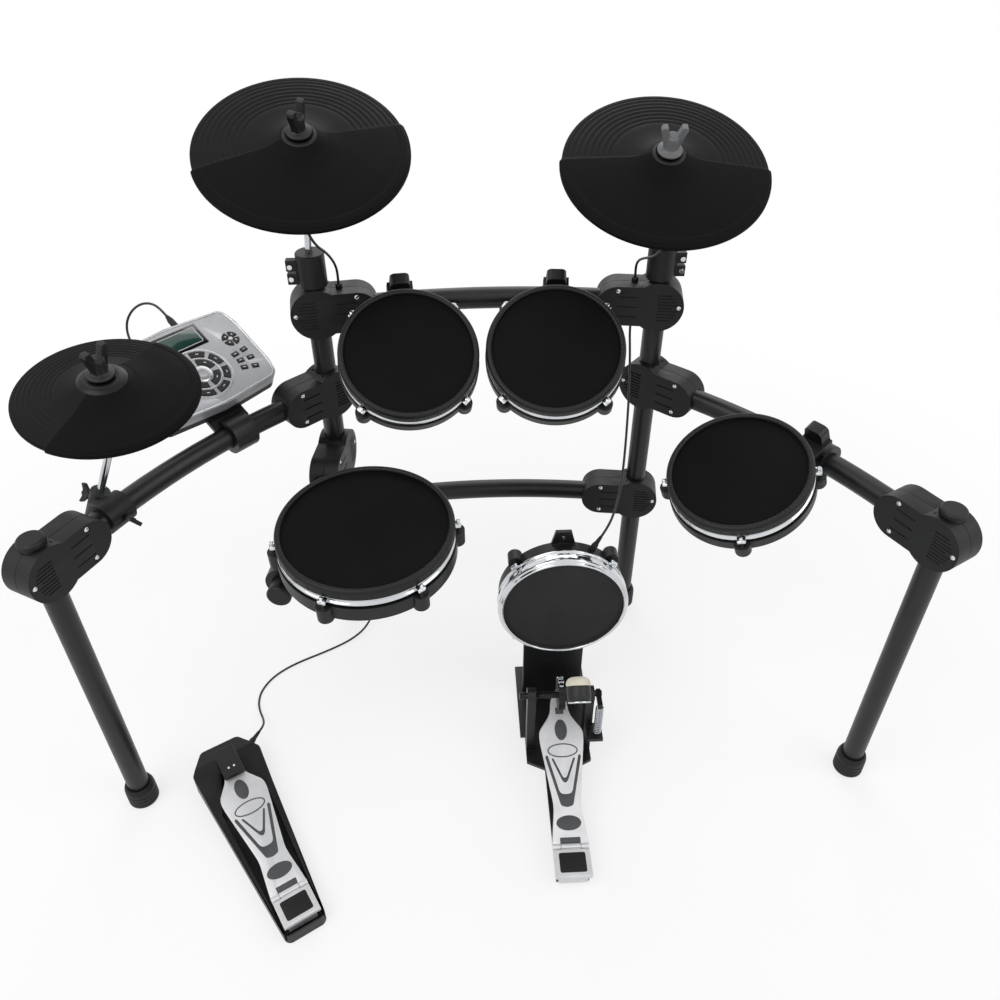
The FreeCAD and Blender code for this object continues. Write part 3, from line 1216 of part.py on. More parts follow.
module_ring = rod("module_ring", "bracket_ring", "bracket_width", at(module_left, V(1, 0, 0)))
module_hole = rod("module_ring_hole", "tube_radius + turn_gap", "bracket_width * 2", at(module_left * 2, V(1, 0, 0)))
module_web = block("module_web", "bracket_width", str(module_y), "bracket_ring",
                   V(0, module_y / 2, plate_low - value("bracket_ring / 2")))
hanger = cut("module_hanger", fuse("module_hanger_blank", arm_plate, module_ring, module_web), module_hole)
node("module_bracket", copy(hanger, module_seat))

# Plugs and grommets of the cords: the cords of the pads go into the rack at its clamps
grommet = rod("grommet", "plug_radius", "grommet_height")
grommet_out = value("clamp_arm_length * 0.6")
arm_top = value("clamp_arm_radius")


def rack_hole(origin, way, side):
    """The place of a grommet on the upper or lower edge of a clamp's arm."""
    return at(origin + way * grommet_out + UP * (side * arm_top), UP * side)


holes = {"crash": rack_hole(upper.first, upper.first_way, 1), "ride": rack_hole(upper.last, upper.last_way, 1),
         "kick": rack_hole(upper.last, upper.last_way, -1), "hat": rack_hole(lower.first, lower.first_way, -1)}
kick_ray = FreeCAD.Placement(V(), FreeCAD.Rotation(UP, value("kick_jack_turn")))
kick_jack = kick_place.multiply(kick_ray).multiply(
    at(V(value(kick_edge), 0, -value("kick_depth * 0.75")), V(1, 0, 0)))
hat_corner = V(value("(toe_half + toe_flat) / 2"), value("(toe_back + toe_end) / 2"), value("hat_jack_z"))
hat_jack = hat_floor.multiply(at(hat_corner, V(value("toe_end - toe_back"), value("toe_half - toe_flat"), 0)))
stem = value("seat_radius * 0.65")
jack_low = -value("ball_radius + ball_gap + seat_radius * 0.5")
seat_jacks = [cymbal_frames[name].multiply(at(V(0, -stem, jack_low), toward)) for name in ("crash", "ride")]
plugs = [copy(plug, place) for place in (kick_jack, hat_jack, *seat_jacks)]
node("cable_plugs", *plugs, *[copy(grommet, place) for place in holes.values()])
tail = V(0, 0, value("plug_length"))
rest = V(0, 0, value("grommet_height"))

# Routes of the cords, as offsets from the line between plug and grommet
kick_route = [
    (2.1, -25.4, -6.2), (6.6, -40.6, -8.1), (11, -43, -10.2), (14.5, -33.3, -12.3), (16.9, -17.7, -13.4),
    (18.4, -0.1, -10.5), (18.8, 16.6, -2.6), (16.8, 29.2, 6.3), (12.7, 32.9, 9.2), (6.5, 25.3, 6.1)]
hat_route = [
    (-6.5, -8.3, -13.2), (-17, -9.9, -31.5), (-34, -8.5, -53.8), (-54.5, -5.1, -73.5), (-73, 2.3, -88.7),
    (-82.5, 14.7, -100.9), (-76, 31.1, -113.2), (-58.5, 39.5, -125.4), (-36, 41.9, -137.7),
    (-11.5, 41.2, -149.9), (11, 41.6, -162.2), (31.5, 44, -174), (49.9, 53.4, -181.2), (57.4, 66.8, -175.5),
    (53.4, 73.2, -155.8), (43.4, 66.6, -128), (31.9, 52, -93.2), (20.9, 35.6, -58.5), (10.5, 17.6, -26.8)]
crash_route = [
    (-3.6, -25.2, 11), (-5.8, -48.7, 15.8), (-6.6, -61.4, 11.7), (-4.7, -57.2, 2.6), (-1.4, -42, -3.5),
    (2, -23.8, -1.6), (4.3, -7.5, -1.7), (5.2, 3.7, -1.8), (3.7, 6.7, -0.9)]
ride_route = [
    (3.6, -25.2, 8), (5.8, -47.7, 9.3), (6.6, -59.4, 2.2), (4.7, -55.2, -7.9), (1.4, -41, -14.5),
    (-2, -24.8, -9.6), (-4.8, -8.5, -4.7), (-5.2, 2.7, 0.2), (-3.7, 6.7, 1.1)]
module_route = [
    (30, 225, -15), (26, 243, -18), (16, 258, -28), (2, 265, -45), (-12, 261, -65), (-20, 245, -83), (-22, 219, -92),
    (-22, 189, -88), (-21, 158, -74), (-20, 130, -56), (-20, 105, -44)]


def run(name, plug_place, route, hole):
    """A cord from the end of its plug to its grommet, along offsets from the line between them and above the floor."""
    start, finish = plug_place.multVec(tail), hole.multVec(rest)
    corners = [start]
    for index, offset in enumerate(route, 1):
        spot = start + (finish - start) * (index / (len(route) + 1)) + V(*offset)
        spot.z = max(spot.z, value("cord_radius + cord_floor"))
        corners.append(spot)
    return cord(name, [*corners, finish])


node("hihat_pedal_cable", run("hat_cord", hat_jack, hat_route, holes["hat"]))
node("kick_cable", run("kick_cord", kick_jack, kick_route, holes["kick"]))
node("cymbal_cables", run("crash_cord", seat_jacks[0], crash_route, holes["crash"]),
     run("ride_cord", seat_jacks[1], ride_route, holes["ride"]))
module_points = [carry(module_jack, *tail)] + [carry(module_place, *point) for point in module_route]
node("module_cable", cord("module_cord", module_points))

# The finished kit: every piece is checked, set on the middle of its floor and written out
doc.recompute()
for item in doc.Objects:
    if "Invalid" in item.State or "Error" in item.State:
        print("not built:", item.Label, item.State)
whole = FreeCAD.BoundBox()
for item in nodes:
    if item.Shape.isNull() or not item.Shape.isValid():
        print("bad shape:", item.Label)
    if not item.Label.endswith(("cable", "cables")):
        whole.add(item.Shape.BoundBox)
shift = V(-whole.Center.x, -whole.Center.y, -whole.ZMin)
os.makedirs("parts", exist_ok=True)
for item in nodes:
    shape = item.Shape.copy()
    shape.translate(shift)
    shape.exportStep(f"parts/{item.Label}.step")
print("nodes", len(nodes), "size", round(whole.XLength), round(whole.YLength), round(whole.ZLength), "shift", shift)
for name, (point, way) in pivots.items():
    print("pivot", name, [round(number, 3) for number in point + shift], [round(number, 5) for number in way])
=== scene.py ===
"""Looks of an electronic drum kit on a bowed tube rack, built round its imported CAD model.

Lengths are in millimetres until a piece is placed, and the row frame is in metres.
"""

from __future__ import annotations

import json
import logging
import math
from collections.abc import Sequence
from dataclasses import dataclass, field, replace
from enum import Enum

import bmesh
import bpy
import numpy as np
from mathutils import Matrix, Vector


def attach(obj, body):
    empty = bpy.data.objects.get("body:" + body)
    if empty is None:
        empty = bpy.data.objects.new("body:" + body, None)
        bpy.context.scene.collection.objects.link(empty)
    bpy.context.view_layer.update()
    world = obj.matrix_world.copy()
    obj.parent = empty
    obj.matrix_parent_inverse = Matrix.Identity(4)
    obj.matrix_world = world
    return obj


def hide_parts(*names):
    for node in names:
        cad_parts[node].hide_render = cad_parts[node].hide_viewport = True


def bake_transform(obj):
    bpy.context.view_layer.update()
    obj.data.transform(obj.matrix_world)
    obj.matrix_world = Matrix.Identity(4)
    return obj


LOG = logging.getLogger("drum_kit")
MM = 0.001
WELD_M = 2e-6
SPECK_M = 1e-6
REFRACTION = 1.5
Array = np.ndarray
Pair = tuple[float, float]
Triple = tuple[float, float, float]
X_AXIS: Triple = (1.0, 0.0, 0.0)
Y_AXIS: Triple = (0.0, 1.0, 0.0)
Z_AXIS: Triple = (0.0, 0.0, 1.0)
KICK_HINGE: Triple = (114.0, -313.072, 34.0)
HAT_HINGE: Triple = (-365.6, -369.377, 34.0)
HAT_ACROSS: Triple = (0.8634, 0.50453, 0.0)
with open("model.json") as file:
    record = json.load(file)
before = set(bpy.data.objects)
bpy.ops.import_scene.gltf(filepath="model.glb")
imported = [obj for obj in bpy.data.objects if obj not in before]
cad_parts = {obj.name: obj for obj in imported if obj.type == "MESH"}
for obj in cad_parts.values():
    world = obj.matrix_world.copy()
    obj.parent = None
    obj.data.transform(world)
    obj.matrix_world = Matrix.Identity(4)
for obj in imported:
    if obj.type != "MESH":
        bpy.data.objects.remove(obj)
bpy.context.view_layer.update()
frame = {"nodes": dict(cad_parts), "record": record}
NODE_BODY = {
    node: body for body, nodes in frame["record"]["behaviour"]["bodies"].items() for node in nodes}


def linear(colour: str) -> tuple[float, float, float, float]:
    """Turns an sRGB hex colour, six digits after a hash sign, into linear light with full alpha."""
    code = np.array([int(colour[i:i + 2], 16) for i in (1, 3, 5)]) / 255
    light = np.where(code <= 0.04045, code / 12.92, ((code + 0.055) / 1.055) ** 2.4)
    return (*light.tolist(), 1.0)


def feed(node: bpy.types.Node, inputs: dict) -> None:
    """Links each named input of a node from a socket, or sets it to a value."""
    for name, value in inputs.items():
        if isinstance(value, bpy.types.NodeSocket):
            node.id_data.links.new(value, node.inputs[name])
        else:
            node.inputs[name].default_value = value


def add(tree: bpy.types.NodeTree, kind: str, inputs: dict,
        **settings: object) -> bpy.types.bpy_prop_collection:
    """Adds one shader node.

    Args:
        tree: the material's or the world's tree.
        kind: the node's type.
        inputs: a socket to link from, or a value to set, by the input's name.
        settings: the node's own properties.

    Returns:
        The node's outputs.
    """
    node = tree.nodes.new("ShaderNode" + kind)
    for name, value in settings.items():
        setattr(node, name, value)
    feed(node, inputs)
    return node.outputs


class Slot(Enum):
    """The record's material slots."""

    STEEL = "powder_coated_steel"
    MOULDED = "moulded_black"
    SHELL = "shell_black"
    RUBBER = "black_rubber"
    CHROME = "chrome_steel"
    PAD = "pad_rubber"
    CAST = "cast_silver"
    SILVER = "module_silver"
    GLASS = "screen_glass"
    KEY = "key_black"
    CORD = "cord_black"


class Grain(Enum):
    """How a surface was made, as the stretch of its grain along X, Y and Z."""

    STIPPLED = (1.0, 1.0, 1.0)
    DRAWN = (1.0, 1.0, 0.08)


@dataclass(frozen=True)
class Finish:
    """A finish: a colour that drifts to a second shade, and a grain that gives relief and gloss."""

    name: str
    colour: str
    shade: str
    roughness: float
    spread: float
    grain_mm: float
    relief_mm: float
    drift_mm: float = 45.0
    metallic: float = 0.0
    coat: float = 0.0
    sheen: float = 0.0
    specular: float = 0.5
    grain: Grain = Grain.STIPPLED

    def material(self) -> bpy.types.Material:
        """Builds the material once, and returns it."""
        made = bpy.data.materials.get(self.name)
        if made is not None:
            return made
        made = bpy.data.materials.new(self.name)
        made.use_nodes = True
        tree = made.node_tree
        place = add(tree, "TexCoord", {})["Object"]
        run = add(tree, "Mapping", {"Vector": place, "Scale": self.grain.value})["Vector"]
        fine = add(tree, "TexNoise", {"Vector": run, "Scale": 1 / (self.grain_mm * MM),
                                      "Detail": 3.0, "Roughness": 0.6})["Fac"]
        broad = add(tree, "TexNoise", {"Vector": place, "Scale": 1 / (self.drift_mm * MM),
                                       "Detail": 4.0, "Roughness": 0.55})["Fac"]
        patch = add(tree, "MapRange", {"Value": broad, "From Min": 0.36,
                                       "From Max": 0.68})["Result"]
        tone = add(tree, "MixRGB", {"Fac": patch, "Color1": linear(self.colour),
                                    "Color2": linear(self.shade)})["Color"]
        both = add(tree, "Math", {0: fine, 1: broad}, operation="ADD")["Value"]
        gloss = add(tree, "MapRange", {
            "Value": both, "From Min": 0.7, "From Max": 1.3,
            "To Min": max(self.roughness - self.spread, 0.02),
            "To Max": min(self.roughness + self.spread, 1.0)})["Result"]
        relief = add(tree, "Bump", {"Strength": 1.0, "Distance": self.relief_mm * MM,
                                    "Height": fine})["Normal"]
        feed(tree.nodes["Principled BSDF"], {
            "Base Color": tone, "Roughness": gloss, "Normal": relief, "Metallic": self.metallic,
            "IOR": REFRACTION, "Specular IOR Level": self.specular, "Coat Weight": self.coat,
            "Sheen Weight": self.sheen})
        return made


# Powder coat on steel tube: satin black with the faint orange peel of baked powder.
POWDER_COAT = Finish("powder_coated_steel_satin", "#0e0f10", "#141517", 0.38, 0.07, 1.6, 0.035,
                     specular=0.4)
# Spark-eroded ABS of the clamps and collars: a dry, even stipple with slightly greyer patches.
MOULDED_ABS = Finish("moulded_abs_stippled", "#101112", "#161719", 0.5, 0.09, 0.9, 0.05,
                     specular=0.32)
# Smooth ABS of the pad shells, a little glossier than the clamps.
SHELL_ABS = Finish("moulded_abs_shell", "#0e0e0f", "#141516", 0.42, 0.08, 1.1, 0.03, specular=0.35)
# Natural rubber skin of the cymbal pads: very matt, with a touch of dust.
CYMBAL_RUBBER = Finish("moulded_rubber_cymbal", "#060606", "#0a0a0a", 0.64, 0.06, 0.8, 0.035,
                       specular=0.08)
# Grooved half of the cymbal pads: the same rubber drawn greyer, a painted sheen standing in for the
# light the grooves catch.
GROOVE_SHEEN_RUBBER = Finish("moulded_rubber_groove_painted_sheen", "#0e0e0e", "#131313", 0.62, 0.06, 0.8, 0.03,
                        specular=0.11)
# Smooth cap on the hi-hat's bell: black ABS with a moulded gloss.
BELL_ABS = Finish("moulded_abs_gloss", "#0a0a0a", "#0f0f10", 0.36, 0.06, 1.2, 0.01, specular=0.22)
# Pressed rubber of the drum heads: flat black with a soft grey bloom.
HEAD_RUBBER = Finish("pressed_rubber_head", "#070708", "#0c0c0c", 0.66, 0.06, 0.7, 0.03,
                     drift_mm=80, specular=0.08)
# Kick head: worn, dark grey rubber cloth.
KICK_RUBBER = Finish("pressed_rubber_kick_head", "#272728", "#2e2e2f", 0.7, 0.06, 0.9, 0.05,
                     drift_mm=60, specular=0.2)
# Rubber of rims, feet and heel squares: black with low gloss.
RIM_RUBBER = Finish("moulded_rubber_rim", "#0d0d0d", "#141414", 0.5, 0.08, 1.0, 0.04, specular=0.3)
# Bright chrome plate with a few wiping marks.
CHROME = Finish("chrome_plated_steel", "#d6d8da", "#c6c9cc", 0.1, 0.05, 6.0, 0.004, metallic=1.0)
# Drawn steel rod, plated: fine lines along its length.
DRAWN_CHROME = Finish("drawn_chromed_rod", "#cfd1d4", "#bcbfc3", 0.16, 0.06, 0.8, 0.004,
                      metallic=1.0, grain=Grain.DRAWN)
# Spring steel, zinc plated: duller than chrome.
SPRING_STEEL = Finish("zinc_plated_spring_steel", "#b9bcc0", "#a3a6aa", 0.27, 0.08, 1.2, 0.01,
                      metallic=1.0)
# Blackened steel of the pedal's axle and levers.
BLACK_STEEL = Finish("blackened_steel", "#1a1b1c", "#26272a", 0.33, 0.1, 1.0, 0.02, metallic=0.6)
# Sand-cast aluminium of the footboards, tumbled: pale satin metal with a fine grit.
CAST_ALUMINIUM = Finish("cast_aluminium_tumbled", "#dedee0", "#cfd0d2", 0.42, 0.08, 0.8, 0.03,
                        metallic=0.4)
# Dark rubberised paint in the recesses of the footboards.
INLAY_PAINT = Finish("rubberised_inlay", "#3a3b3d", "#474849", 0.55, 0.08, 0.8, 0.04)
# Silver metallic paint on the module's moulded case.
SILVER_PAINT = Finish("silver_painted_abs", "#b4b5b8", "#a9aaad", 0.36, 0.07, 0.5, 0.015,
                      metallic=0.45)
# Bead round the module's face and the dial's rings and caps: glossier silver, drawn lighter as a
# painted highlight.
SILVER_HIGHLIGHT_PAINT = Finish("silver_bead_painted_highlight", "#d5d6d8", "#c6c7ca", 0.22, 0.05, 0.8, 0.01,
                      metallic=0.6)
# Gloss black acrylic of the screen's window.
ACRYLIC = Finish("gloss_black_acrylic", "#0c0d0e", "#101112", 0.12, 0.04, 4.0, 0.003, coat=0.6)
# Liquid-crystal panel, unlit: deep green under glass.
LCD = Finish("unlit_lcd_glass", "#1f3d38", "#27483f", 0.16, 0.05, 1.5, 0.003, drift_mm=30, coat=0.7)
# Silicone rubber of the keys.
KEY_RUBBER = Finish("silicone_rubber_key", "#0f1011", "#17181a", 0.5, 0.08, 0.6, 0.02, specular=0.4)
# Pale screen-printed ink of the key marks and the window's frame.
PALE_INK = Finish("screen_printed_ink", "#d9dad6", "#cccdc9", 0.5, 0.06, 0.5, 0.01)
# Grey glass-filled nylon of one nut.
GREY_NYLON = Finish("moulded_grey_nylon", "#5d5e60", "#6a6b6d", 0.46, 0.08, 0.9, 0.04)
# Pressed wool felt of the beater: off-white, fibrous, with the glow of loose fibres.
FELT = Finish("pressed_wool_felt", "#e4dfd0", "#d4cdb9", 0.95, 0.04, 0.7, 0.2, drift_mm=14,
              sheen=0.35)
# Soft PVC jacket of the cords.
PVC = Finish("extruded_pvc_jacket", "#0f0f10", "#161617", 0.42, 0.07, 1.0, 0.02, drift_mm=30)
# Pale studio floor.
FLOOR = Finish("painted_studio_floor", "#fbfbfb", "#f8f8f8", 0.9, 0.04, 8.0, 0.01, drift_mm=600)


@dataclass(frozen=True)
class Seat:
    """Where a sub-assembly sits: its origin and its X and Z directions in the row frame."""

    origin: Triple
    x: Triple = X_AXIS
    z: Triple = Z_AXIS

    def axes(self) -> Array:
        """Gives the three unit directions as rows, square to each other."""
        z = np.asarray(self.z) / np.linalg.norm(self.z)
        x = np.asarray(self.x) - z * np.dot(self.x, z)
        x /= np.linalg.norm(x)
        return np.stack([x, np.cross(z, x), z])

    def place(self, points: Array) -> Array:
        """Carries points of this seat into the row frame, still in millimetres."""
        return np.asarray(self.origin) + points @ self.axes()

    def inner(self, offset: Triple, x: Triple = X_AXIS, z: Triple = Z_AXIS) -> Seat:
        """Gives a seat inside this one from an offset and directions in it."""
        rows = self.axes()
        return Seat(tuple(self.place(np.array(offset))), tuple(np.array(x) @ rows),
                    tuple(np.array(z) @ rows))


@dataclass
class Shell:
    """A closed surface: points, the quads of its grid, its flat ends, and each face's finish."""

    points: Array
    quads: Array
    ends: list[Array] = field(default_factory=list)
    coat: int | Array = 0

    def at(self, seat: Seat) -> Shell:
        """Gives the same surface on a seat."""
        return replace(self, points=seat.place(self.points))

    def shift(self, x: float, y: float) -> Shell:
        """Gives the same surface moved along X and Y."""
        return replace(self, points=self.points + np.array([x, y, 0]))

    def spin(self, degrees: float) -> Shell:
        """Gives the same surface turned about Z."""
        c, s = math.cos(math.radians(degrees)), math.sin(math.radians(degrees))
        return replace(self, points=self.points @ np.array([[c, s, 0], [-s, c, 0], [0, 0, 1]]))


def seated(seat: Seat, shells: Sequence[Shell]) -> list[Shell]:
    """Gives the same surfaces on a seat."""
    return [shell.at(seat) for shell in shells]


def around(count: int) -> Array:
    """Gives angles evenly spaced round a circle."""
    return np.arange(count) * (2 * math.pi / count)


def grid(rows: int, columns: int, loop: bool) -> Array:
    """Joins each point of a grid to its neighbour in its row and in the next row.

    Args:
        rows: the number of rows.
        columns: the number of points in a row, whose last is joined to its first.
        loop: True joins the last row to the first.

    Returns:
        The four corners of each quad.
    """
    row, column = np.meshgrid(np.arange(rows - (not loop)), np.arange(columns), indexing="ij")
    here, below = row * columns, (row + 1) % rows * columns
    right = (column + 1) % columns
    corners = [here + column, here + right, below + right, below + column]
    return np.stack(corners, -1).reshape(-1, 4)


def fillet(corners: Sequence[Pair], radius: float, steps: int, ends: bool = False) -> Array:
    """Rounds an outline: each corner becomes the quadratic curve between points on its two sides.

    Args:
        corners: the outline's corners, in order.
        radius: how far from a corner its curve starts, at most 0.45 of a short side.
        steps: the curve's number of runs.
        ends: True keeps the first and the last corner sharp, for a profile that ends on its axis.

    Returns:
        The rounded outline.
    """
    spot = np.asarray(corners, float)
    back, ahead = np.roll(spot, 1, 0) - spot, np.roll(spot, -1, 0) - spot
    far_back, far_ahead = np.linalg.norm(back, axis=1), np.linalg.norm(ahead, axis=1)
    reach = np.minimum(radius, 0.45 * np.minimum(far_back, far_ahead))
    if ends:
        reach[[0, -1]] = 0
    start = (spot + back * (reach / far_back)[:, None])[:, None]
    finish = (spot + ahead * (reach / far_ahead)[:, None])[:, None]
    t = np.linspace(0, 1, steps + 1)[None, :, None]
    curve = (1 - t) ** 2 * start + 2 * t * (1 - t) * spot[:, None] + t ** 2 * finish
    return curve.reshape(-1, 2)


def mirrored(half: Sequence[Pair]) -> list[Pair]:
    """Joins half an outline to its mirror image in X; a point on the axis stays single."""
    return [*half, *((-x, y) for x, y in half[::-1] if x)]


def lathe(corners: Sequence[Pair], soft: float, steps: int, count: int, coat: int = 0) -> Shell:
    """Turns a profile about Z: radius r and height z at the angle t stand at (r cos t, r sin t, z).

    Args:
        corners: radius and height of each corner; it starts and ends on the axis, or is a ring.
        soft: the radius of its rounded corners.
        steps: the runs of each rounded corner.
        count: the number of steps round the axis.
        coat: the finish among those of the piece.

    Returns:
        The turned surface.
    """
    on_axis = corners[0][0] == 0
    radius, height = fillet(corners, soft, steps, on_axis).T
    turn = around(count)
    points = np.stack([np.outer(radius, np.cos(turn)), np.outer(radius, np.sin(turn)),
                       np.outer(height, np.ones(count))], -1)
    return Shell(points.reshape(-1, 3), grid(len(radius), count, not on_axis), coat=coat)


def soft_levels(low: float, high: float, soft: float, steps: int = 3) -> Array:
    """Heights and insets of a slab whose lower and upper edges are quarter circles."""
    turn = np.linspace(0, math.pi / 2, steps + 1)
    inset = soft * (1 - np.sin(turn))
    lower = np.column_stack([low + soft * (1 - np.cos(turn)), inset])
    upper = np.column_stack([high - soft * (1 - np.cos(turn)), inset])[::-1]
    return np.vstack([lower, upper])


def inward(outline: Array) -> Array:
    """Gives the unit normal at each point of an anticlockwise outline."""
    ahead = np.roll(outline, -1, 0) - np.roll(outline, 1, 0)
    length = np.maximum(np.linalg.norm(ahead, axis=1), 1e-9)
    return np.column_stack([-ahead[:, 1], ahead[:, 0]]) / length[:, None]


def slab(outline: Array, levels: Array, coat: int = 0) -> Shell:
    """Carries an anticlockwise outline up through levels, each drawn in by the level's inset.

    Args:
        outline: the corners in the slab's own plane.
        levels: height and inset of each level.
        coat: the finish among those of the piece.

    Returns:
        The slab with flat ends.
    """
    height, inset = np.asarray(levels, float).T[:, :, None, None]
    flat = outline[None] + inset * inward(outline)[None]
    points = np.concatenate([flat, np.broadcast_to(height, (*flat.shape[:2], 1))], -1)
    first = np.arange(len(outline))
    ends = [first[::-1], first + len(outline) * (len(height) - 1)]
    return Shell(points.reshape(-1, 3), grid(len(height), len(outline), False), ends, coat)


def tube(path: Array, radius: float, sides: int, loop: bool = False, coat: int = 0) -> Shell:
    """Carries a circle along a path that is never upright, square to the path's run.

    Args:
        path: the points of the centreline.
        radius: the circle's radius.
        sides: the circle's number of points.
        loop: True joins the last point to the first.
        coat: the finish among those of the piece.

    Returns:
        The tube, with flat ends unless it is a loop.
    """
    run = np.roll(path, -1, 0) - np.roll(path, 1, 0) if loop else np.gradient(path, axis=0)
    run = run / np.linalg.norm(run, axis=1)[:, None]
    side = np.cross(run, Z_AXIS)
    side /= np.linalg.norm(side, axis=1)[:, None]
    other = np.cross(side, run)
    turn = around(sides)[None, :, None]
    points = path[:, None] + radius * (np.cos(turn) * side[:, None] + np.sin(turn) * other[:, None])
    first = np.arange(sides)
    ends = [] if loop else [first[::-1], first + sides * (len(path) - 1)]
    return Shell(points.reshape(-1, 3), grid(len(path), sides, loop), ends, coat)


def ellipse(across: float, along: float, middle: float, count: int = 48) -> Array:
    """An ellipse round a spot on Y: the angle t gives (across cos t, middle + along sin t)."""
    turn = around(count)
    return np.column_stack([across * np.cos(turn), along * np.sin(turn)]) + np.array([0, middle])


def oblong(wide: float, tall: float, radius: float, x: float = 0.0, y: float = 0.0) -> Array:
    """A rectangle with rounded corners round a spot."""
    right, top = wide / 2, tall / 2
    corners = [(-right, -top), (right, -top), (right, top), (-right, top)]
    return fillet(corners, radius, 5) + np.array([x, y])


def smooth_through(spots: Array, heights: Array, where: Array) -> Array:
    """A cubic curve through spots and heights, whose slope at a spot is that of its neighbours."""
    slope = np.gradient(heights, spots)
    index = np.clip(np.searchsorted(spots, where) - 1, 0, len(spots) - 2)
    after = index + 1
    wide = spots[after] - spots[index]
    t = (where - spots[index]) / wide
    start = (1 + 2 * t) * (1 - t) ** 2 * heights[index] + t * (1 - t) ** 2 * wide * slope[index]
    return start + t ** 2 * (3 - 2 * t) * heights[after] + t ** 2 * (t - 1) * wide * slope[after]


def ease(value: Array) -> Array:
    """A smooth step: t squared times three less two t, for t held between 0 and 1."""
    t = np.clip(value, 0, 1)
    return t * t * (3 - 2 * t)


def finish_mesh(mesh: bpy.types.Mesh, crease: float, from_cad: bool) -> None:
    """Closes a mesh's seams and poles, and keeps edges over the crease angle sharp.

    Args:
        mesh: the mesh.
        crease: the angle in degrees.
        from_cad: True merges the triangles of flat faces; False turns the faces outwards.
    """
    work = bmesh.new()
    work.from_mesh(mesh)
    bmesh.ops.remove_doubles(work, verts=work.verts, dist=WELD_M)
    bmesh.ops.dissolve_degenerate(work, edges=work.edges, dist=SPECK_M)
    if from_cad:
        bmesh.ops.dissolve_limit(work, angle_limit=math.radians(1), verts=work.verts,
                                 edges=work.edges)
    else:
        bmesh.ops.recalc_face_normals(work, faces=work.faces)
    work.to_mesh(mesh)
    work.free()
    mesh.polygons.foreach_set("use_smooth", np.ones(len(mesh.polygons), bool))
    mesh.set_sharp_from_angle(angle=math.radians(crease))


def show(name: str, data: bpy.types.ID) -> bpy.types.Object:
    """Puts a mesh, a curve, a lamp or a camera into the scene."""
    item = bpy.data.objects.new(name, data)
    bpy.context.scene.collection.objects.link(item)
    return item


def enter(name: str, data: bpy.types.ID, body: str | None,
          stands_for: Sequence[str]) -> bpy.types.Object:
    """Puts a piece into the scene, on its body and in the place of CAD nodes."""
    piece = show(name, data)
    if body:
        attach(piece, body)
    if stands_for:
        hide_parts(*stands_for)
    return piece


def make_piece(name: str, shells: Sequence[Shell], finishes: Sequence[Finish], body: str | None,
               stands_for: Sequence[str] = (),
               crease: float = 38.0) -> bpy.types.Object:
    """Puts surfaces, already in the row frame, into one piece that rides on a body.

    Args:
        name: the piece's name.
        shells: its closed surfaces, in millimetres.
        finishes: the finishes that the surfaces' coats count through.
        body: the body it moves with, or None for a piece that rides on no body.
        stands_for: CAD nodes it replaces.
        crease: the angle in degrees from which an edge is sharp.

    Returns:
        The piece.
    """
    starts = np.cumsum([0] + [len(shell.points) for shell in shells[:-1]])
    faces, coats = [], []
    for shell, start in zip(shells, starts):
        faces += (shell.quads + start).tolist() + [(end + start).tolist() for end in shell.ends]
        end_coat = 0 if isinstance(shell.coat, np.ndarray) else shell.coat
        coats += [np.broadcast_to(shell.coat, len(shell.quads)), np.full(len(shell.ends), end_coat)]
    mesh = bpy.data.meshes.new(name)
    mesh.from_pydata((np.vstack([shell.points for shell in shells]) * MM).tolist(), [], faces)
    mesh.polygons.foreach_set("material_index", np.concatenate(coats).astype(np.int32))
    finish_mesh(mesh, crease, False)
    for finish in finishes:
        mesh.materials.append(finish.material())
    LOG.info("%s: %d faces on %s", name, len(mesh.polygons), body)
    return enter(name, mesh, body, stands_for)


def soften(node: str, finish: Finish, edge: float) -> bpy.types.Object:
    """Stands a merged copy of a CAD node in for it, with its sharp edges rounded.

    Args:
        node: the CAD node.
        finish: its finish.
        edge: the width of the rounding in millimetres, or 0 for none.

    Returns:
        The piece.
    """
    crease = 32.0
    mesh = frame["nodes"][node].data.copy()
    mesh.materials.clear()
    finish_mesh(mesh, crease, True)
    mesh.materials.append(finish.material())
    mesh.polygons.foreach_set("material_index", np.zeros(len(mesh.polygons), np.int32))
    piece = enter(node + "_soft", mesh, NODE_BODY[node], [node])
    if edge:
        bevel = piece.modifiers.new("rounded_edges", "BEVEL")
        bevel.width = edge * MM
        bevel.segments = 2
        bevel.limit_method = "ANGLE"
        bevel.angle_limit = math.radians(crease)
        bevel.use_clamp_overlap = False
        bevel.harden_normals = True
    LOG.info("%s: rounded by %.1f mm", node, edge)
    return piece


def paint(node: str, finish: Finish) -> None:
    """Gives a CAD node that keeps its shape its finish."""
    for holder in frame["nodes"][node].material_slots:
        holder.material = finish.material()
    LOG.info("%s: painted %s", node, finish.name)


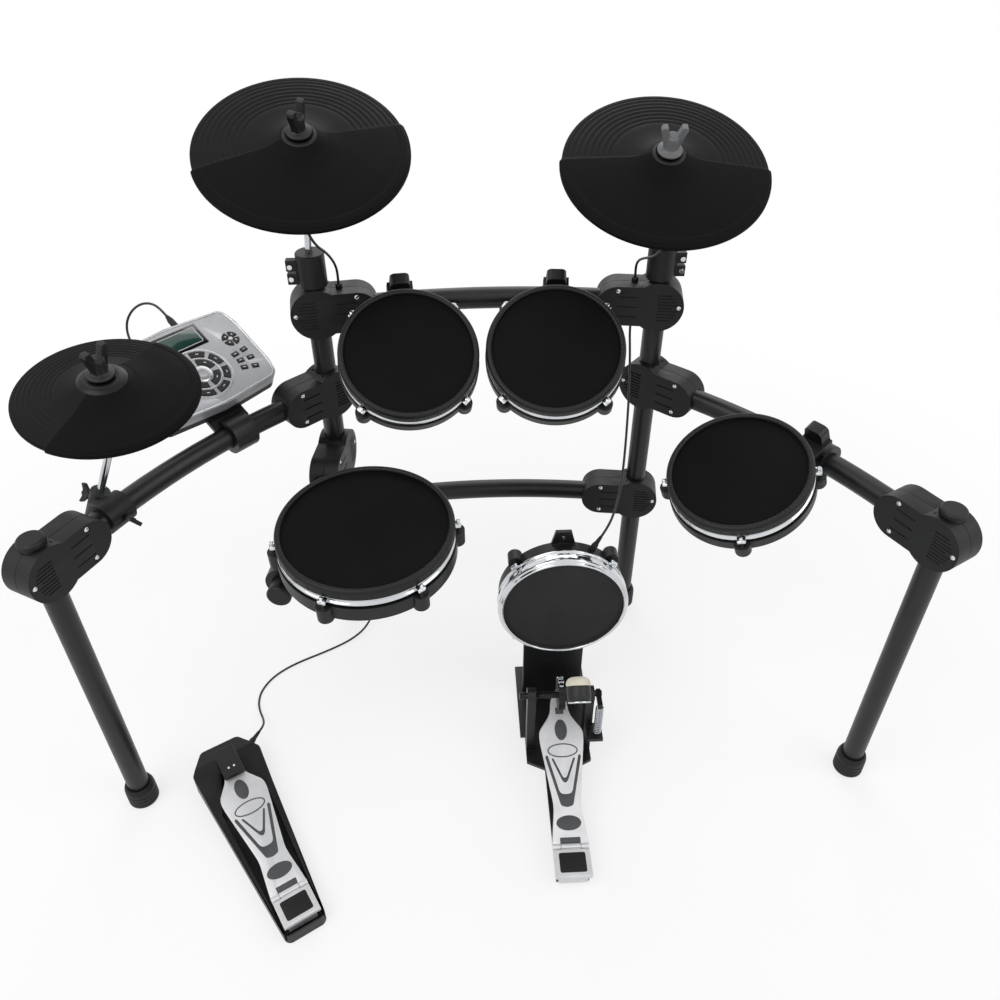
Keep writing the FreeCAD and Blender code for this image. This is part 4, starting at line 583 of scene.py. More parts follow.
@dataclass
class Studio:
    """The camera at the photograph's angle, soft lamps, a white surround and a pale floor."""

    eye: Triple = (-50.0, -1132.9, 1499.0)
    yaw: float = 2.82
    pitch: float = 39.48
    lens: float = 32.4
    sensor: float = 36.0
    aim: Triple = (0.0, 0.0, 0.5)
    ambient: float = 0.55
    floor_half: float = 14.0
    shade_near: float = 0.9
    shade_far: float = 1.9
    near_white: float = 0.7

    def build(self) -> None:
        """Sets up the camera, the light and the floor."""
        scene = bpy.context.scene
        scene.view_settings.view_transform = "Standard"
        camera = show("camera", bpy.data.cameras.new("camera"))
        camera.data.lens = self.lens
        camera.data.sensor_width = self.sensor
        camera.data.sensor_fit = "HORIZONTAL"
        yaw, pitch = math.radians(self.yaw), math.radians(self.pitch)
        level = math.cos(pitch)
        ahead = Vector((math.sin(yaw) * level, math.cos(yaw) * level, -math.sin(pitch)))
        camera.location = Vector(self.eye) * MM
        camera.rotation_euler = ahead.to_track_quat("-Z", "Y").to_euler()
        scene.camera = camera
        self.surround()
        self.lamp("key_lamp", (-1.7, -1.3, 3.0), 2.2, 42)
        self.lamp("fill_lamp", (2.2, -1.0, 2.5), 2.0, 22)
        self.lamp("back_lamp", (0.3, 2.6, 2.4), 2.4, 26)
        self.floor()

    def lamp(self, name: str, spot: Triple, size: float, power: float) -> None:
        lamp = show(name, bpy.data.lights.new(name, "AREA"))
        lamp.data.size = size
        lamp.data.energy = power
        lamp.location = spot
        way = Vector(self.aim) - Vector(spot)
        lamp.rotation_euler = way.to_track_quat("-Z", "Y").to_euler()

    def seen(self, tree: bpy.types.NodeTree) -> bpy.types.NodeSocket:
        sight = add(tree, "LightPath", {})
        mirror = add(tree, "Math", {0: sight["Is Glossy Ray"], 1: sight["Is Transmission Ray"]},
                     operation="MAXIMUM")["Value"]
        return add(tree, "Math", {0: sight["Is Camera Ray"], 1: mirror},
                   operation="MAXIMUM")["Value"]

    def surround(self) -> None:
        world = bpy.data.worlds.new("studio")
        world.use_nodes = True
        tree = world.node_tree
        level = add(tree, "MapRange", {"Value": self.seen(tree), "To Min": self.ambient,
                                       "To Max": 1.0})["Result"]
        feed(tree.nodes["Background"], {"Strength": level, "Color": (1, 1, 1, 1)})
        bpy.context.scene.world = world

    def whiten(self, ground: bpy.types.Material) -> None:
        tree = ground.node_tree
        place = add(tree, "TexCoord", {})["Object"]
        away = add(tree, "VectorMath", {0: place}, operation="LENGTH")["Value"]
        share = add(tree, "MapRange", {
            "Value": away, "From Min": self.shade_near, "From Max": self.shade_far,
            "To Min": self.near_white}, interpolation_type="SMOOTHSTEP")["Result"]
        white = add(tree, "Math", {0: share, 1: self.seen(tree)}, operation="MULTIPLY")["Value"]
        plain = add(tree, "Emission", {})["Emission"]
        shaded = tree.nodes["Principled BSDF"].outputs["BSDF"]
        both = add(tree, "MixShader", {"Fac": white, 1: shaded, 2: plain})["Shader"]
        feed(tree.nodes["Material Output"], {"Surface": both})

    def floor(self) -> None:
        half = self.floor_half
        corners = [(-half, -half, 0), (half, -half, 0), (half, half, 0), (-half, half, 0)]
        self.whiten(FLOOR.material())
        mesh = bpy.data.meshes.new("floor")
        mesh.from_pydata(corners, [], [(0, 1, 2, 3)])
        mesh.materials.append(FLOOR.material())
        show("floor", mesh)


@dataclass
class Cord:
    """A cord on the control points of its route, from its plug to the rack or the module."""

    name: str
    node: str
    body: str
    length: float
    route: Sequence[Triple]
    radius: float = 2.2

    def build(self) -> None:
        """Draws the cord as one smooth spline through its route."""
        curve = bpy.data.curves.new(self.name, "CURVE")
        curve.dimensions = "3D"
        curve.bevel_depth = self.radius * MM
        curve.bevel_resolution = 4
        curve.use_fill_caps = True
        spline = curve.splines.new("NURBS")
        spline.points.add(len(self.route) - 1)
        points = np.column_stack([np.array(self.route) * MM, np.ones(len(self.route))])
        spline.points.foreach_set("co", points.ravel())
        spline.order_u = 3
        spline.use_endpoint_u = True
        spline.resolution_u = 10
        curve.materials.append(PVC.material())
        piece = enter(self.name, curve, self.body, [self.node])
        LOG.info("%s: cord of %d points", self.name, len(self.route))


@dataclass
class Plugs:
    """The jack plugs at the cords' near ends, and the grommets where they enter the rack."""

    plug_length: float = 34.0
    plug_radius: float = 6.0
    cord_radius: float = 2.2
    grommet_height: float = 8.0
    steps: int = 32
    tips: Sequence[tuple[Triple, Triple]] = (
        ((185.3, 33.828, 446.9), (0.437, 0.0, 0.899)),
        ((-467.5, -39.377, 30.0), (0.4238, 0.9058, 0.0)),
        ((-285.947, 245.099, 1009.083), (0, -0.9202, -0.3915)),
        ((281.477, 244.888, 972.327), (0, -0.9178, -0.397)))
    holes: Sequence[tuple[Triple, Triple]] = (
        ((-257.4, 312.728, 802.0), (0, 0, 1)), ((257.4, 312.728, 802.0), (0, 0, 1)),
        ((257.4, 312.728, 712.0), (0, 0, -1)), ((-257.4, 312.728, 275.0), (0, 0, -1)))

    def plug(self) -> Shell:
        """A plug with grip ribs and a stepped strain relief, its tip at the origin."""
        big, thin, long = self.plug_radius, self.cord_radius * 1.15, self.plug_length
        ribs = [(big - 0.5 * (i % 2), 3 + i * 1.3) for i in range(8)]
        sleeve = [(big * (0.72 - 0.05 * (i // 2)) - 0.45 * (i % 2), long * 0.48 + i * 1.9)
                  for i in range(9)]
        body = [(0, 0), (big, 0), *ribs, (big * 0.8, long * 0.46), *sleeve, (thin, long), (0, long)]
        return lathe(body, 0.4, 2, self.steps)

    def grommet(self) -> Shell:
        """A ring with a rounded lip, its lip at the origin and its seat below."""
        thin, big, high = self.cord_radius + 0.1, self.plug_radius, self.grommet_height
        return lathe([(thin, 0), (big * 0.8, 0), (big, -high * 0.35), (big, -high), (thin, -high)],
                     1.2, 4, self.steps)

    def build(self) -> None:
        """Builds all plugs and grommets as one piece."""
        shells = []
        for tip, way in self.tips:
            side = Y_AXIS if abs(way[1]) < 0.5 else Z_AXIS
            base = np.array(tip) - self.plug_length * np.array(way) / np.linalg.norm(way)
            shells.append(self.plug().at(Seat(tuple(base), side, way)))
        shells += [self.grommet().at(Seat(hole, X_AXIS, way)) for hole, way in self.holes]
        make_piece("jack_plugs", shells, [RIM_RUBBER], "rack", ["cable_plugs"])


@dataclass
class Rack:
    """The tube rack: uprights, bars, clamps, collars, screws, caps and feet."""

    feet: Sequence[Pair] = (
        (-299.0, 306.928), (299.0, 306.928), (-667.0, -155.072), (667.0, -155.072))
    foot_radius: float = 27.0
    foot_height: float = 48.0
    foot_floor: float = 8.0
    foot_rings: Triple = (10.0, 19.0, 28.0)
    ring_depth: float = 1.3
    tube_radius: float = 19.05

    def foot(self) -> Shell:
        """A rubber boot round the tube, with three grip rings and a softened tread."""
        big, high, bore = self.foot_radius, self.foot_height, self.tube_radius
        sunk = big - self.ring_depth
        rings = []
        for step in self.foot_rings:
            rings += [(big, step), (sunk, step + 1), (sunk, step + 3.2), (big, step + 4.2)]
        return lathe([(0, 0), (big - 4, 0), (big, 4), *rings, (big - 0.6, high - 8),
                      (big - 3.4, high), (bore, high), (bore, self.foot_floor),
                      (0, self.foot_floor)], 1.1, 3, 64)

    def build(self) -> None:
        """Dresses the tubes and builds the feet."""
        for node in ("rack_uprights", "rear_bars", "wing_bars", "snare_arm"):
            paint(node, POWDER_COAT)
        paint("cymbal_rods", DRAWN_CHROME)
        boots = [self.foot().shift(x, y) for x, y in self.feet]
        make_piece("rubber_boots", boots, [RIM_RUBBER], "rack", ["rubber_feet"])
        soften("tube_caps", MOULDED_ABS, 1.0)
        soften("tube_clamps", MOULDED_ABS, 0.5)
        soften("post_collars", MOULDED_ABS, 0.5)
        soften("rack_screws", CHROME, 0.5)
        soften("hihat_rod_clamp", MOULDED_ABS, 0.0)
        soften("cymbal_seats", MOULDED_ABS, 0.4)


@dataclass
class CymbalPad:
    """A cymbal pad: rubber cover with a grooved sector and a thicker strike side, and its base."""

    name: str
    seat: Seat
    radius: float
    groove_middle: float
    groove_span: float
    cap_radius: float = 0.0
    cap_step: float = 0.8
    hole: float = 10.0
    bell_rise: float = 15.0
    bell_radius: float = 44.0
    bell_flat: float = 0.6
    edge_drop: float = 14.0
    cover_thick: float = 3.2
    edge_lip: float = 4.0
    grooves: int = 8
    groove_rows: Pair = (0.5, 0.955)
    groove_depth: float = 1.1
    strike_step: float = 0.9
    band_rise: float = 0.9
    edge_step: float = 3.2
    edge_from: float = 0.9
    collar: Pair = (20.6, 25.4)
    collar_rise: float = 1.6
    steps: int = 300

    def bell_ring(self) -> Shell:
        """A turned ring on the bell, outside the nut's foot, standing above the bell's slope."""
        inner, outer = self.collar
        slope = 2 / (self.bell_radius * self.bell_flat - self.hole)
        near, far = (self.bell_rise - slope * (r - self.hole) for r in (inner, outer))
        return lathe([(inner, near - 1), (inner, near + self.collar_rise),
                      (outer, far + self.collar_rise), (outer + 1.6, far - 1)], 1.2, 4, 72, 2)

    def section(self) -> tuple[Array, Array, int]:
        """The cover's closed section without its grooves and steps.

        Returns:
            The radius and the height of its points, and how many of them are on its upper side.
        """
        big, thick, rim, bell = self.radius, self.cover_thick, -self.edge_drop, self.bell_rise
        (inner, outer), foot = np.array(self.groove_rows) * big, self.bell_radius * 1.2
        across = np.unique(np.concatenate([
            np.linspace(self.hole, foot, 22), np.linspace(foot, inner, 6),
            np.linspace(inner, outer, 8 * self.grooves + 1), np.linspace(outer, big - thick, 6)]))
        spots = np.array([self.hole, self.bell_radius * self.bell_flat, self.bell_radius,
                          big * 0.55, big * 0.8, big - thick])
        drops = np.array([bell, bell - 2, bell * 0.33, rim * 0.25, rim * 0.62, rim])
        top = smooth_through(spots, drops, across)
        low = rim - thick - self.edge_lip
        edge = np.array([
            (big - 1.2, rim - 0.5), (big - 0.2, rim - 1.6), (big, rim - 3.2), (big, low + 1),
            (big - 0.5, low + 0.2), (big - 1.5, low), (big - thick + 0.4, low),
            (big - thick, low + 0.6), (big - thick, rim - thick)])
        under = np.column_stack([across, top - thick])[::-8]
        radius, height = np.vstack([np.column_stack([across, top]), edge, under]).T
        return radius, height, len(across)

    def cover(self) -> Shell:
        """The cover over radius r and angle t.

        Its height is the bell and bow curve, less a row of rounded grooves where t is in the
        grooved sector, and plus a thin step and a raised edge band elsewhere. In the grooved
        sector the rim draws in a little. Inside the cap's radius the bell stands one step higher.

        Returns:
            The cover about the cymbal's centre.
        """
        big, thick = self.radius, self.cover_thick
        far, level, top_count = self.section()
        upper = np.arange(len(far)) < top_count
        turn = around(self.steps)
        away = np.abs((np.degrees(turn) - self.groove_middle + 180) % 360 - 180)
        grooved = ease((self.groove_span / 2 - away) / 1.6 + 0.5)
        edge = (far / big - self.edge_from)[:, None]
        radius = far[:, None] - self.edge_step * grooved * ease(edge / 0.1)
        inner, outer = np.array(self.groove_rows) * big
        wave = (far - inner) / (outer - inner) * self.grooves
        in_row = upper & (wave > 0) & (wave < self.grooves)
        dip = np.where(in_row, np.sin(math.pi * (wave % 1)) ** 2, 0)
        to_lip = big - thick - far
        band = ease(edge[:, 0] / 0.014) * (far < big - thick * 0.9) * upper
        skirt = ease((far - self.bell_radius) / 3) * ease(to_lip / 2) * upper
        raised = self.strike_step * skirt + self.band_rise * band * ease(to_lip / 3)
        height = level[:, None] - self.groove_depth * np.outer(dip, grooved)
        height += np.outer(raised, 1 - grooved)
        height += (self.cap_step * ease((self.cap_radius - far) / 1.5) * upper)[:, None]
        points = np.stack([radius * np.cos(turn), radius * np.sin(turn), height], -1)
        beyond_bell = far > self.bell_radius * self.bell_flat
        # The grooved sector's top takes the greyer rubber, a painted sheen; inside the cap's radius,
        # the bell's ABS.
        coat = np.outer(upper & beyond_bell, grooved > 0.5).astype(int)
        coat[upper & (far < self.cap_radius)] = 3
        quads = grid(len(far), self.steps, True)
        return Shell(points.reshape(-1, 3), quads, coat=coat.ravel())

    def build(self) -> None:
        """Builds the cover and dresses the base."""
        soften(self.name + "_base", MOULDED_ABS, 0.0)
        finishes = [CYMBAL_RUBBER, GROOVE_SHEEN_RUBBER, RIM_RUBBER, BELL_ABS]
        make_piece(self.name + "_rubber_cover", seated(self.seat, [self.cover(), self.bell_ring()]),
                   finishes, self.name, [self.name + "_cover"], 50)


@dataclass
class CymbalNuts:
    """The wing nuts on the three rods, of which the one on the ride's side is grey."""

    grey_from: float = 150.0

    def build(self) -> None:
        """Rounds the nuts and gives the faces beyond the grey nut's near side their own finish."""
        mesh = soften("cymbal_wing_nuts", KEY_RUBBER, 1.4).data
        middles = np.empty(3 * len(mesh.polygons))
        mesh.polygons.foreach_get("center", middles)
        mesh.materials.append(GREY_NYLON.material())
        grey = middles.reshape(-1, 3)[:, 0] > self.grey_from * MM
        mesh.polygons.foreach_set("material_index", grey.astype(np.int32))


@dataclass
class DrumPad:
    """A drum pad: shell, pressed rubber head, rubber rim, chromed hoop, claws and screws."""

    name: str
    body: str
    seat: Seat
    head_radius: float
    lugs: int
    spin: float = 0.0
    head_finish: Finish = HEAD_RUBBER
    ringed: bool = False
    head_thick: float = 4.0
    head_lap: float = 3.0
    rim_width: float = 10.5
    rim_rise: float = 6.0
    rim_drop: float = 13.0
    rim_wall: float = 3.0
    hoop_wall: float = 3.0
    hoop_drop: float = 26.0
    tension_out: float = 16.0
    screw_radius: float = 2.6
    cup_radius: float = 4.4
    bolt_wide: float = 5.2
    rim_steps: int = 720
    nicks: int = 90
    nick_depth: float = 0.45
    seams: int = 36
    seam_depth: float = 1.1
    seam_power: int = 40

    @property
    def skirt(self) -> float:
        """The inner radius of the rim's and the bezel's skirt."""
        return self.head_radius + self.rim_width - self.rim_wall

    def head(self) -> list[Shell]:
        """A disc with a rounded edge, and a black gasket round the kick pad."""
        big, low = self.head_radius + self.head_lap, -self.head_thick
        shells = [lathe([(0, 0), (big, 0), (big, low), (0, low)], 1.0, 3, 96)]
        if self.ringed:
            edge = self.head_radius - 0.3
            ring = [(edge - 5, -0.6), (edge, -0.6), (edge, 1.4), (edge - 5, 0.5)]
            shells.append(lathe(ring, 0.3, 2, 96, 1))
        return shells

    def lip(self, face: Sequence[Pair], *side: float) -> list[Pair]:
        """The section of a rim: its face in parts of its width and rise, and heights on its side."""
        start, wide, low = self.head_radius, self.rim_width, -self.rim_drop
        shown = [(start + wide * x, self.rim_rise * y) for x, y in face]
        outer = [(start + wide, height) for height in (*side, low)]
        return [(start, 0.05), *shown, *outer, (self.skirt, low), (self.skirt, 0.05)]

    def bezel(self) -> Shell:
        """A turned chrome front for the kick pad: a bead, a groove and a stepped outer band."""
        face = [(0.08, 0.8), (0.3, 1), (0.52, 0.8), (0.6, 0.25), (0.86, 0.2), (1, -0.2)]
        return lathe(self.lip(face), 1.0, 4, 144)

    def rim(self) -> Shell:
        """A turned lip: its crown dips by a cosine of the angle, and seams are cut into its side.

        The seams are the cosine of the angle times their number, raised to a high power.

        Returns:
            The rim about the head's centre.
        """
        start, wide = self.head_radius, self.rim_width
        face = [(0.1, 0.7), (0.36, 1), (0.76, 0.86), (1, 0.2)]
        radius, height = fillet(self.lip(face, -self.rim_drop * 0.5), 1.6, 4).T
        turn = around(self.rim_steps)
        crown = ease((radius - start) / 1.5) * ease((start + wide * 0.55 - radius) / 2)
        dips = np.maximum(np.cos(self.nicks * turn), 0)
        dip = self.nick_depth * np.outer(crown * (height > 2), dips)
        side = (radius > start + wide - 0.3) * (height < 0.1) * (height > 1.4 - self.rim_drop)
        cuts = np.maximum(np.cos(self.seams * turn), 0) ** self.seam_power
        out = radius[:, None] - self.seam_depth * np.outer(side, cuts)
        points = np.stack([out * np.cos(turn), out * np.sin(turn), height[:, None] - dip], -1)
        return Shell(points.reshape(-1, 3), grid(len(radius), self.rim_steps, True))

    def hoop(self) -> list[Shell]:
        """A band with a bead and a rolled foot, and at each lug a claw with a tension screw."""
        skirt, low, thin, cup = self.skirt, -self.hoop_drop, self.screw_radius, self.cup_radius
        inner, outer = skirt - 0.05 - self.hoop_wall, skirt - 0.05
        shells = [lathe([
            (inner, -0.05), (outer, -0.05), (outer, -14.2), (outer + 1.1, -15),
            (outer + 1.1, -16.8), (outer, -17.6), (outer, low + 5.4), (outer + 1.8, low + 4),
            (outer + 3, low + 2.8), (outer + 3, low + 1.2), (outer + 2, low), (inner, low)],
            0.8, 3, 120)]
        spot = self.head_radius + self.tension_out
        reach, top = spot + 4.2 - skirt, low + 10.5
        claw = slab(oblong(reach, 14, 3.2, skirt + reach / 2), soft_levels(low + 4.1, top, 1.4))
        cup_low, cup_top = low + 10.4, low + 11.8
        screw = [
            lathe([(0, low - 12), (thin, low - 12), (thin, top), (0, top)], 0.4, 2, 16),
            lathe([(0, cup_low), (cup, cup_low), (cup, cup_top), (0, cup_top)], 0.5, 2, 24),
            slab(oblong(self.bolt_wide, self.bolt_wide, 0.8),
                 soft_levels(low + 11.7, low + 17, 0.9))]
        lug = [claw, *(part.shift(spot, 0) for part in screw)]
        for index in range(self.lugs):
            shells += [part.spin(360 / self.lugs * (index + 0.5)) for part in lug]
        return shells

    def build(self) -> None:
        """Builds the pad's pieces and dresses its shell."""
        turn = math.radians(self.spin)
        seat = self.seat.inner((0, 0, 0), (math.cos(turn), math.sin(turn), 0))
        soften(self.name + "_shell", SHELL_ABS, 0.7)
        make_piece(self.name + "_rubber_head", seated(seat, self.head()),
                   [self.head_finish, RIM_RUBBER], self.body, [self.name + "_head"])
        hoop = self.hoop()
        if self.ringed:
            hoop.append(self.bezel())
        else:
            make_piece(self.name + "_rubber_rim", seated(seat, [self.rim()]), [RIM_RUBBER],
                       self.body, [self.name + "_rim"], 50)
        make_piece(self.name + "_chrome_hoop", seated(seat, hoop), [CHROME], self.body,
                   [self.name + "_hoop"])


@dataclass
class Footboard:
    """A cast footboard with hinge knuckles, dark inlays and a toe bolt, used on both pedals."""

    name: str
    node: str
    body: str
    seat: Seat
    windowed: bool = False
    length: float = 276.0
    half_thick: float = 3.0
    heel: float = 32.0
    waist: float = 24.0
    shoulder: float = 41.0
    toe: float = 15.0
    notch: float = 18.0
    pin: float = 3.05
    knuckle: float = 6.0
    slot_y: float = 11.0
    heel_oval_y: float = 40.0
    ring_y: float = 170.0
    toe_oval_y: float = 209.0
    window_y: float = 246.0
    bolt_y: float = 264.0

    def deck(self) -> list[Shell]:
        """The deck's rounded outline carried through its thickness, and two knuckles."""
        thick, knuckle, wide = self.half_thick, self.knuckle, self.heel - self.notch
        right = [(self.notch, 7.2), (self.notch, 0), (self.heel, 0), (self.heel - 1, 14),
                 (self.waist, 71), (self.shoulder, 190), (self.shoulder, 208), (self.toe + 3, 240),
                 (self.toe, 266), (self.toe * 0.7, self.length)]
        board = slab(fillet(mirrored(right), 12, 6), soft_levels(-thick, thick, 1.6))
        barrel = lathe([(self.pin, 0), (knuckle, 0), (knuckle, wide), (self.pin, wide)], 0.8, 3, 32)
        return [board, *(barrel.at(Seat((start, 0, 0), Y_AXIS, X_AXIS))
                         for start in (self.notch, -self.heel))]

    def inlays(self) -> list[Shell]:
        """Dark ovals, a ring, two open chevrons, the slot at the hinge and the kick's window."""
        top = self.half_thick
        levels = soft_levels(top - 1.0, top + 0.45, 0.35, 2)
        domed = soft_levels(top - 1.5, top + 1.5, 1.5, 4)
        loop = ellipse(27, 12, self.ring_y, 64)
        ring = tube(np.column_stack([loop, np.full(len(loop), top)]), 1.1, 10, True)
        wide = [(0, 67), (11, 70), (33, 158), (31, 162), (28, 160), (12, 96), (8, 91), (0, 90)]
        small = [(0, 110), (5, 114), (21.5, 154), (20, 156.5), (18, 155), (3.5, 121), (0, 119)]
        shells = [slab(ellipse(11.5, 20, self.toe_oval_y), domed),
                  slab(ellipse(22, 13, self.heel_oval_y), domed),
                  slab(fillet(mirrored(wide), 4.0, 4), levels),
                  slab(fillet(mirrored(small), 2.0, 4), levels),
                  slab(oblong(2 * self.notch, 9, 1.5, 0, self.slot_y), levels), ring]
        if self.windowed:
            shells.append(slab(oblong(15, 13, 2, 0, self.window_y),
                               soft_levels(top - 1, top + 0.4, 0.3, 2)))
        return shells

    def bolt(self) -> Shell:
        """A domed bolt at the toe, turned from a quarter-round profile."""
        top = self.half_thick
        dome = [(0, top + 3.2), (3.4, top + 2.6), (4.6, top + 0.4), (4.6, top), (0, top)]
        return lathe(dome, 1, 3, 24).shift(0, self.bolt_y)

    def build(self) -> None:
        """Builds the deck, the inlays and the bolt."""
        make_piece(self.name + "_deck", seated(self.seat, self.deck()), [CAST_ALUMINIUM], self.body,
                   [self.node])
        make_piece(self.name + "_inlays", seated(self.seat, self.inlays()), [INLAY_PAINT],
                   self.body)
        make_piece(self.name + "_toe_bolt", seated(self.seat, [self.bolt()]), [CHROME], self.body)


@dataclass
class HeelPlate:
    """A heel plate behind the hinge: cast block with a ribbed rubber square let into its top."""

    node: str
    seat: Seat
    wide: float = 46.0
    deep: float = 36.0
    middle: float = -31.6
    top: float = 6.0
    rib_step: float = 4.0

    def build(self) -> None:
        """Dresses the block and lays the rubber square on it."""
        soften(self.node, CAST_ALUMINIUM, 1.6)
        top = self.top
        square = slab(oblong(self.wide, self.deep, 4), soft_levels(top - 0.8, top + 0.7, 0.5))
        rib = slab(oblong(self.wide - 8, 1.6, 0.7), soft_levels(top, top + 1.1, 0.35))
        ribs = [rib.shift(0, self.rib_step * step) for step in range(-3, 4)]
        shells = [shell.shift(0, self.middle) for shell in (square, *ribs)]
        make_piece(self.node + "_rubber", seated(self.seat, shells), [RIM_RUBBER], "rack")


@dataclass
class BeaterPedal:
    """The kick pedal's moving works: axle, cam, felt beater, chain and return spring."""

    axle: Triple = (114.0, -83.072, 162.0)
    beater_x: float = 15.0
    lean: float = 36.0
    reach: float = 163.0
    shaft: float = 4.0
    head_radius: float = 21.0
    head_length: float = 44.0
    chain_y: float = -52.072
    chain_low: float = 117.0
    pitch: float = 9.0
    links: int = 5
    cam_links: int = 6
    link_widths: Pair = (6.0, 9.0)
    roller: float = 2.0
    spring_spot: Triple = (184.0, -109.072, 79.4)
    spring_top: float = 154.6
    spring_radius: float = 6.5
    wire: float = 1.1
    turns: int = 14

    def beater(self) -> None:
        """Turns the felt, its body and its collar about the stroke, and the rod about its axis."""
        lean = math.radians(self.lean)
        x, y, z = self.axle
        hub = Seat((x + self.beater_x, y, z), X_AXIS, (0.0, -math.sin(lean), math.cos(lean)))
        head = hub.inner((0, 0, self.reach), X_AXIS, Y_AXIS)
        big, half, thin, tip = self.head_radius, self.head_length / 2, self.shaft, self.reach - 14
        felt = lathe([(0, half * 0.3), (big, half * 0.3), (big, half * 0.55),
                      (big * 0.86, half * 0.84), (big * 0.5, half), (0, half)], 5, 5, 64, 0)
        body = lathe([(0, 2.6 - half), (big * 0.9, 2.6 - half), (big * 0.97, -half * 0.5),
                      (big * 0.97, half * 0.31), (0, half * 0.31)], 2, 4, 64, 1)
        collar = lathe([(0, -half), (big * 0.78, -half), (big * 0.93, 0.9 - half),
                        (big * 0.93, 2.8 - half), (0, 2.8 - half)], 0.6, 3, 64, 2)
        rod = lathe([(0, 12.6), (thin, 12.6), (thin, tip), (0, tip)], 0.6, 2, 24, 2)
        shells = [*seated(head, [felt, body, collar]), rod.at(hub)]
        make_piece("felt_beater", shells, [FELT, KEY_RUBBER, CHROME], "axle",
                   ["pedal_beater"])

    def link(self, wide: float) -> list[Shell]:
        """A chain link standing on Z: two waisted side plates joined by a roller at each end."""
        half, ear, side = self.pitch / 2, 2.6, wide / 2
        plate = fillet([
            (-half - 1.4, -ear), (-half + 2, -ear), (0, -1.5), (half - 2, -ear), (half + 1.4, -ear),
            (half + 1.4, ear), (half - 2, ear), (0, 1.5), (-half + 2, ear), (-half - 1.4, ear)],
            2.2, 4)
        lie = Seat((0, 0, 0), Z_AXIS, X_AXIS)
        plates = [slab(plate, soft_levels(x - 0.7, x + 0.7, 0.3, 2)).at(lie) for x in (-side, side)]
        roll = lathe([(0, -side), (self.roller, -side), (self.roller, side), (0, side)], 0.3, 2, 16)
        return plates + [roll.at(Seat((0, 0, z), Y_AXIS, X_AXIS)) for z in (-half, half)]

    def chain(self) -> None:
        """Hangs the straight run of the chain from the cam, and lays its upper links over it."""
        x, y, z = self.axle
        slim, wide = self.link_widths
        run, wrap = [], []
        for index in range(self.links):
            seat = Seat((x, self.chain_y, self.chain_low + self.pitch * (index + 0.5)))
            run += seated(seat, self.link(wide if index % 2 else slim))
        make_piece("drive_chain", run, [SPRING_STEEL], "footboard", ["pedal_chain"])
        radius = self.chain_y - y
        for index in range(self.cam_links):
            angle = (index + 0.5) * self.pitch / radius
            c, s = math.cos(angle), math.sin(angle)
            seat = Seat((x, y + radius * c, z + radius * s), X_AXIS, (0.0, -s, c))
            wrap += seated(seat, self.link(slim if index % 2 else wide))
        make_piece("cam_chain", wrap, [SPRING_STEEL], "axle")

    def spring(self) -> None:
        """Winds the return spring: a circle along a helix that rises evenly with its angle."""
        turn = np.linspace(0, 2 * math.pi * self.turns, 26 * self.turns)
        x, y, low = self.spring_spot
        wide, top = self.spring_radius, self.spring_top
        path = np.column_stack([x + wide * np.cos(turn), y + wide * np.sin(turn),
                                low + (top - low) * turn / turn[-1]])
        piece = make_piece("return_spring", [tube(path, self.wire, 10)], [SPRING_STEEL], None,
                           ["pedal_spring"])
        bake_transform(piece)

    def build(self) -> None:
        """Dresses the frame and builds the works."""
        soften("kick_tower", POWDER_COAT, 1.0)
        soften("pedal_frame", POWDER_COAT, 0.8)
        soften("pedal_axle", BLACK_STEEL, 0.0)
        self.beater()
        self.chain()
        self.spring()


@dataclass
class HatPedal:
    """The hi-hat pedal's base, and two screws on its toe cap."""

    cap_top: float = 85.0
    screw_y: float = 248.0
    screw_x: float = 5.0

    def build(self) -> None:
        """Dresses the base and turns the screws."""
        soften("hihat_pedal_base", SHELL_ABS, 1.6)
        screw = lathe([(0, 1.4), (1.6, 1.2), (2.4, 0.2), (2.4, -1.0), (0, -1.0)], 0.5, 3, 24)
        cap = Seat((*HAT_HINGE[:2], self.cap_top), HAT_ACROSS)
        pair = [screw.shift(x, self.screw_y) for x in (-self.screw_x, self.screw_x)]
        make_piece("cap_screws", seated(cap, pair), [CHROME], "rack")


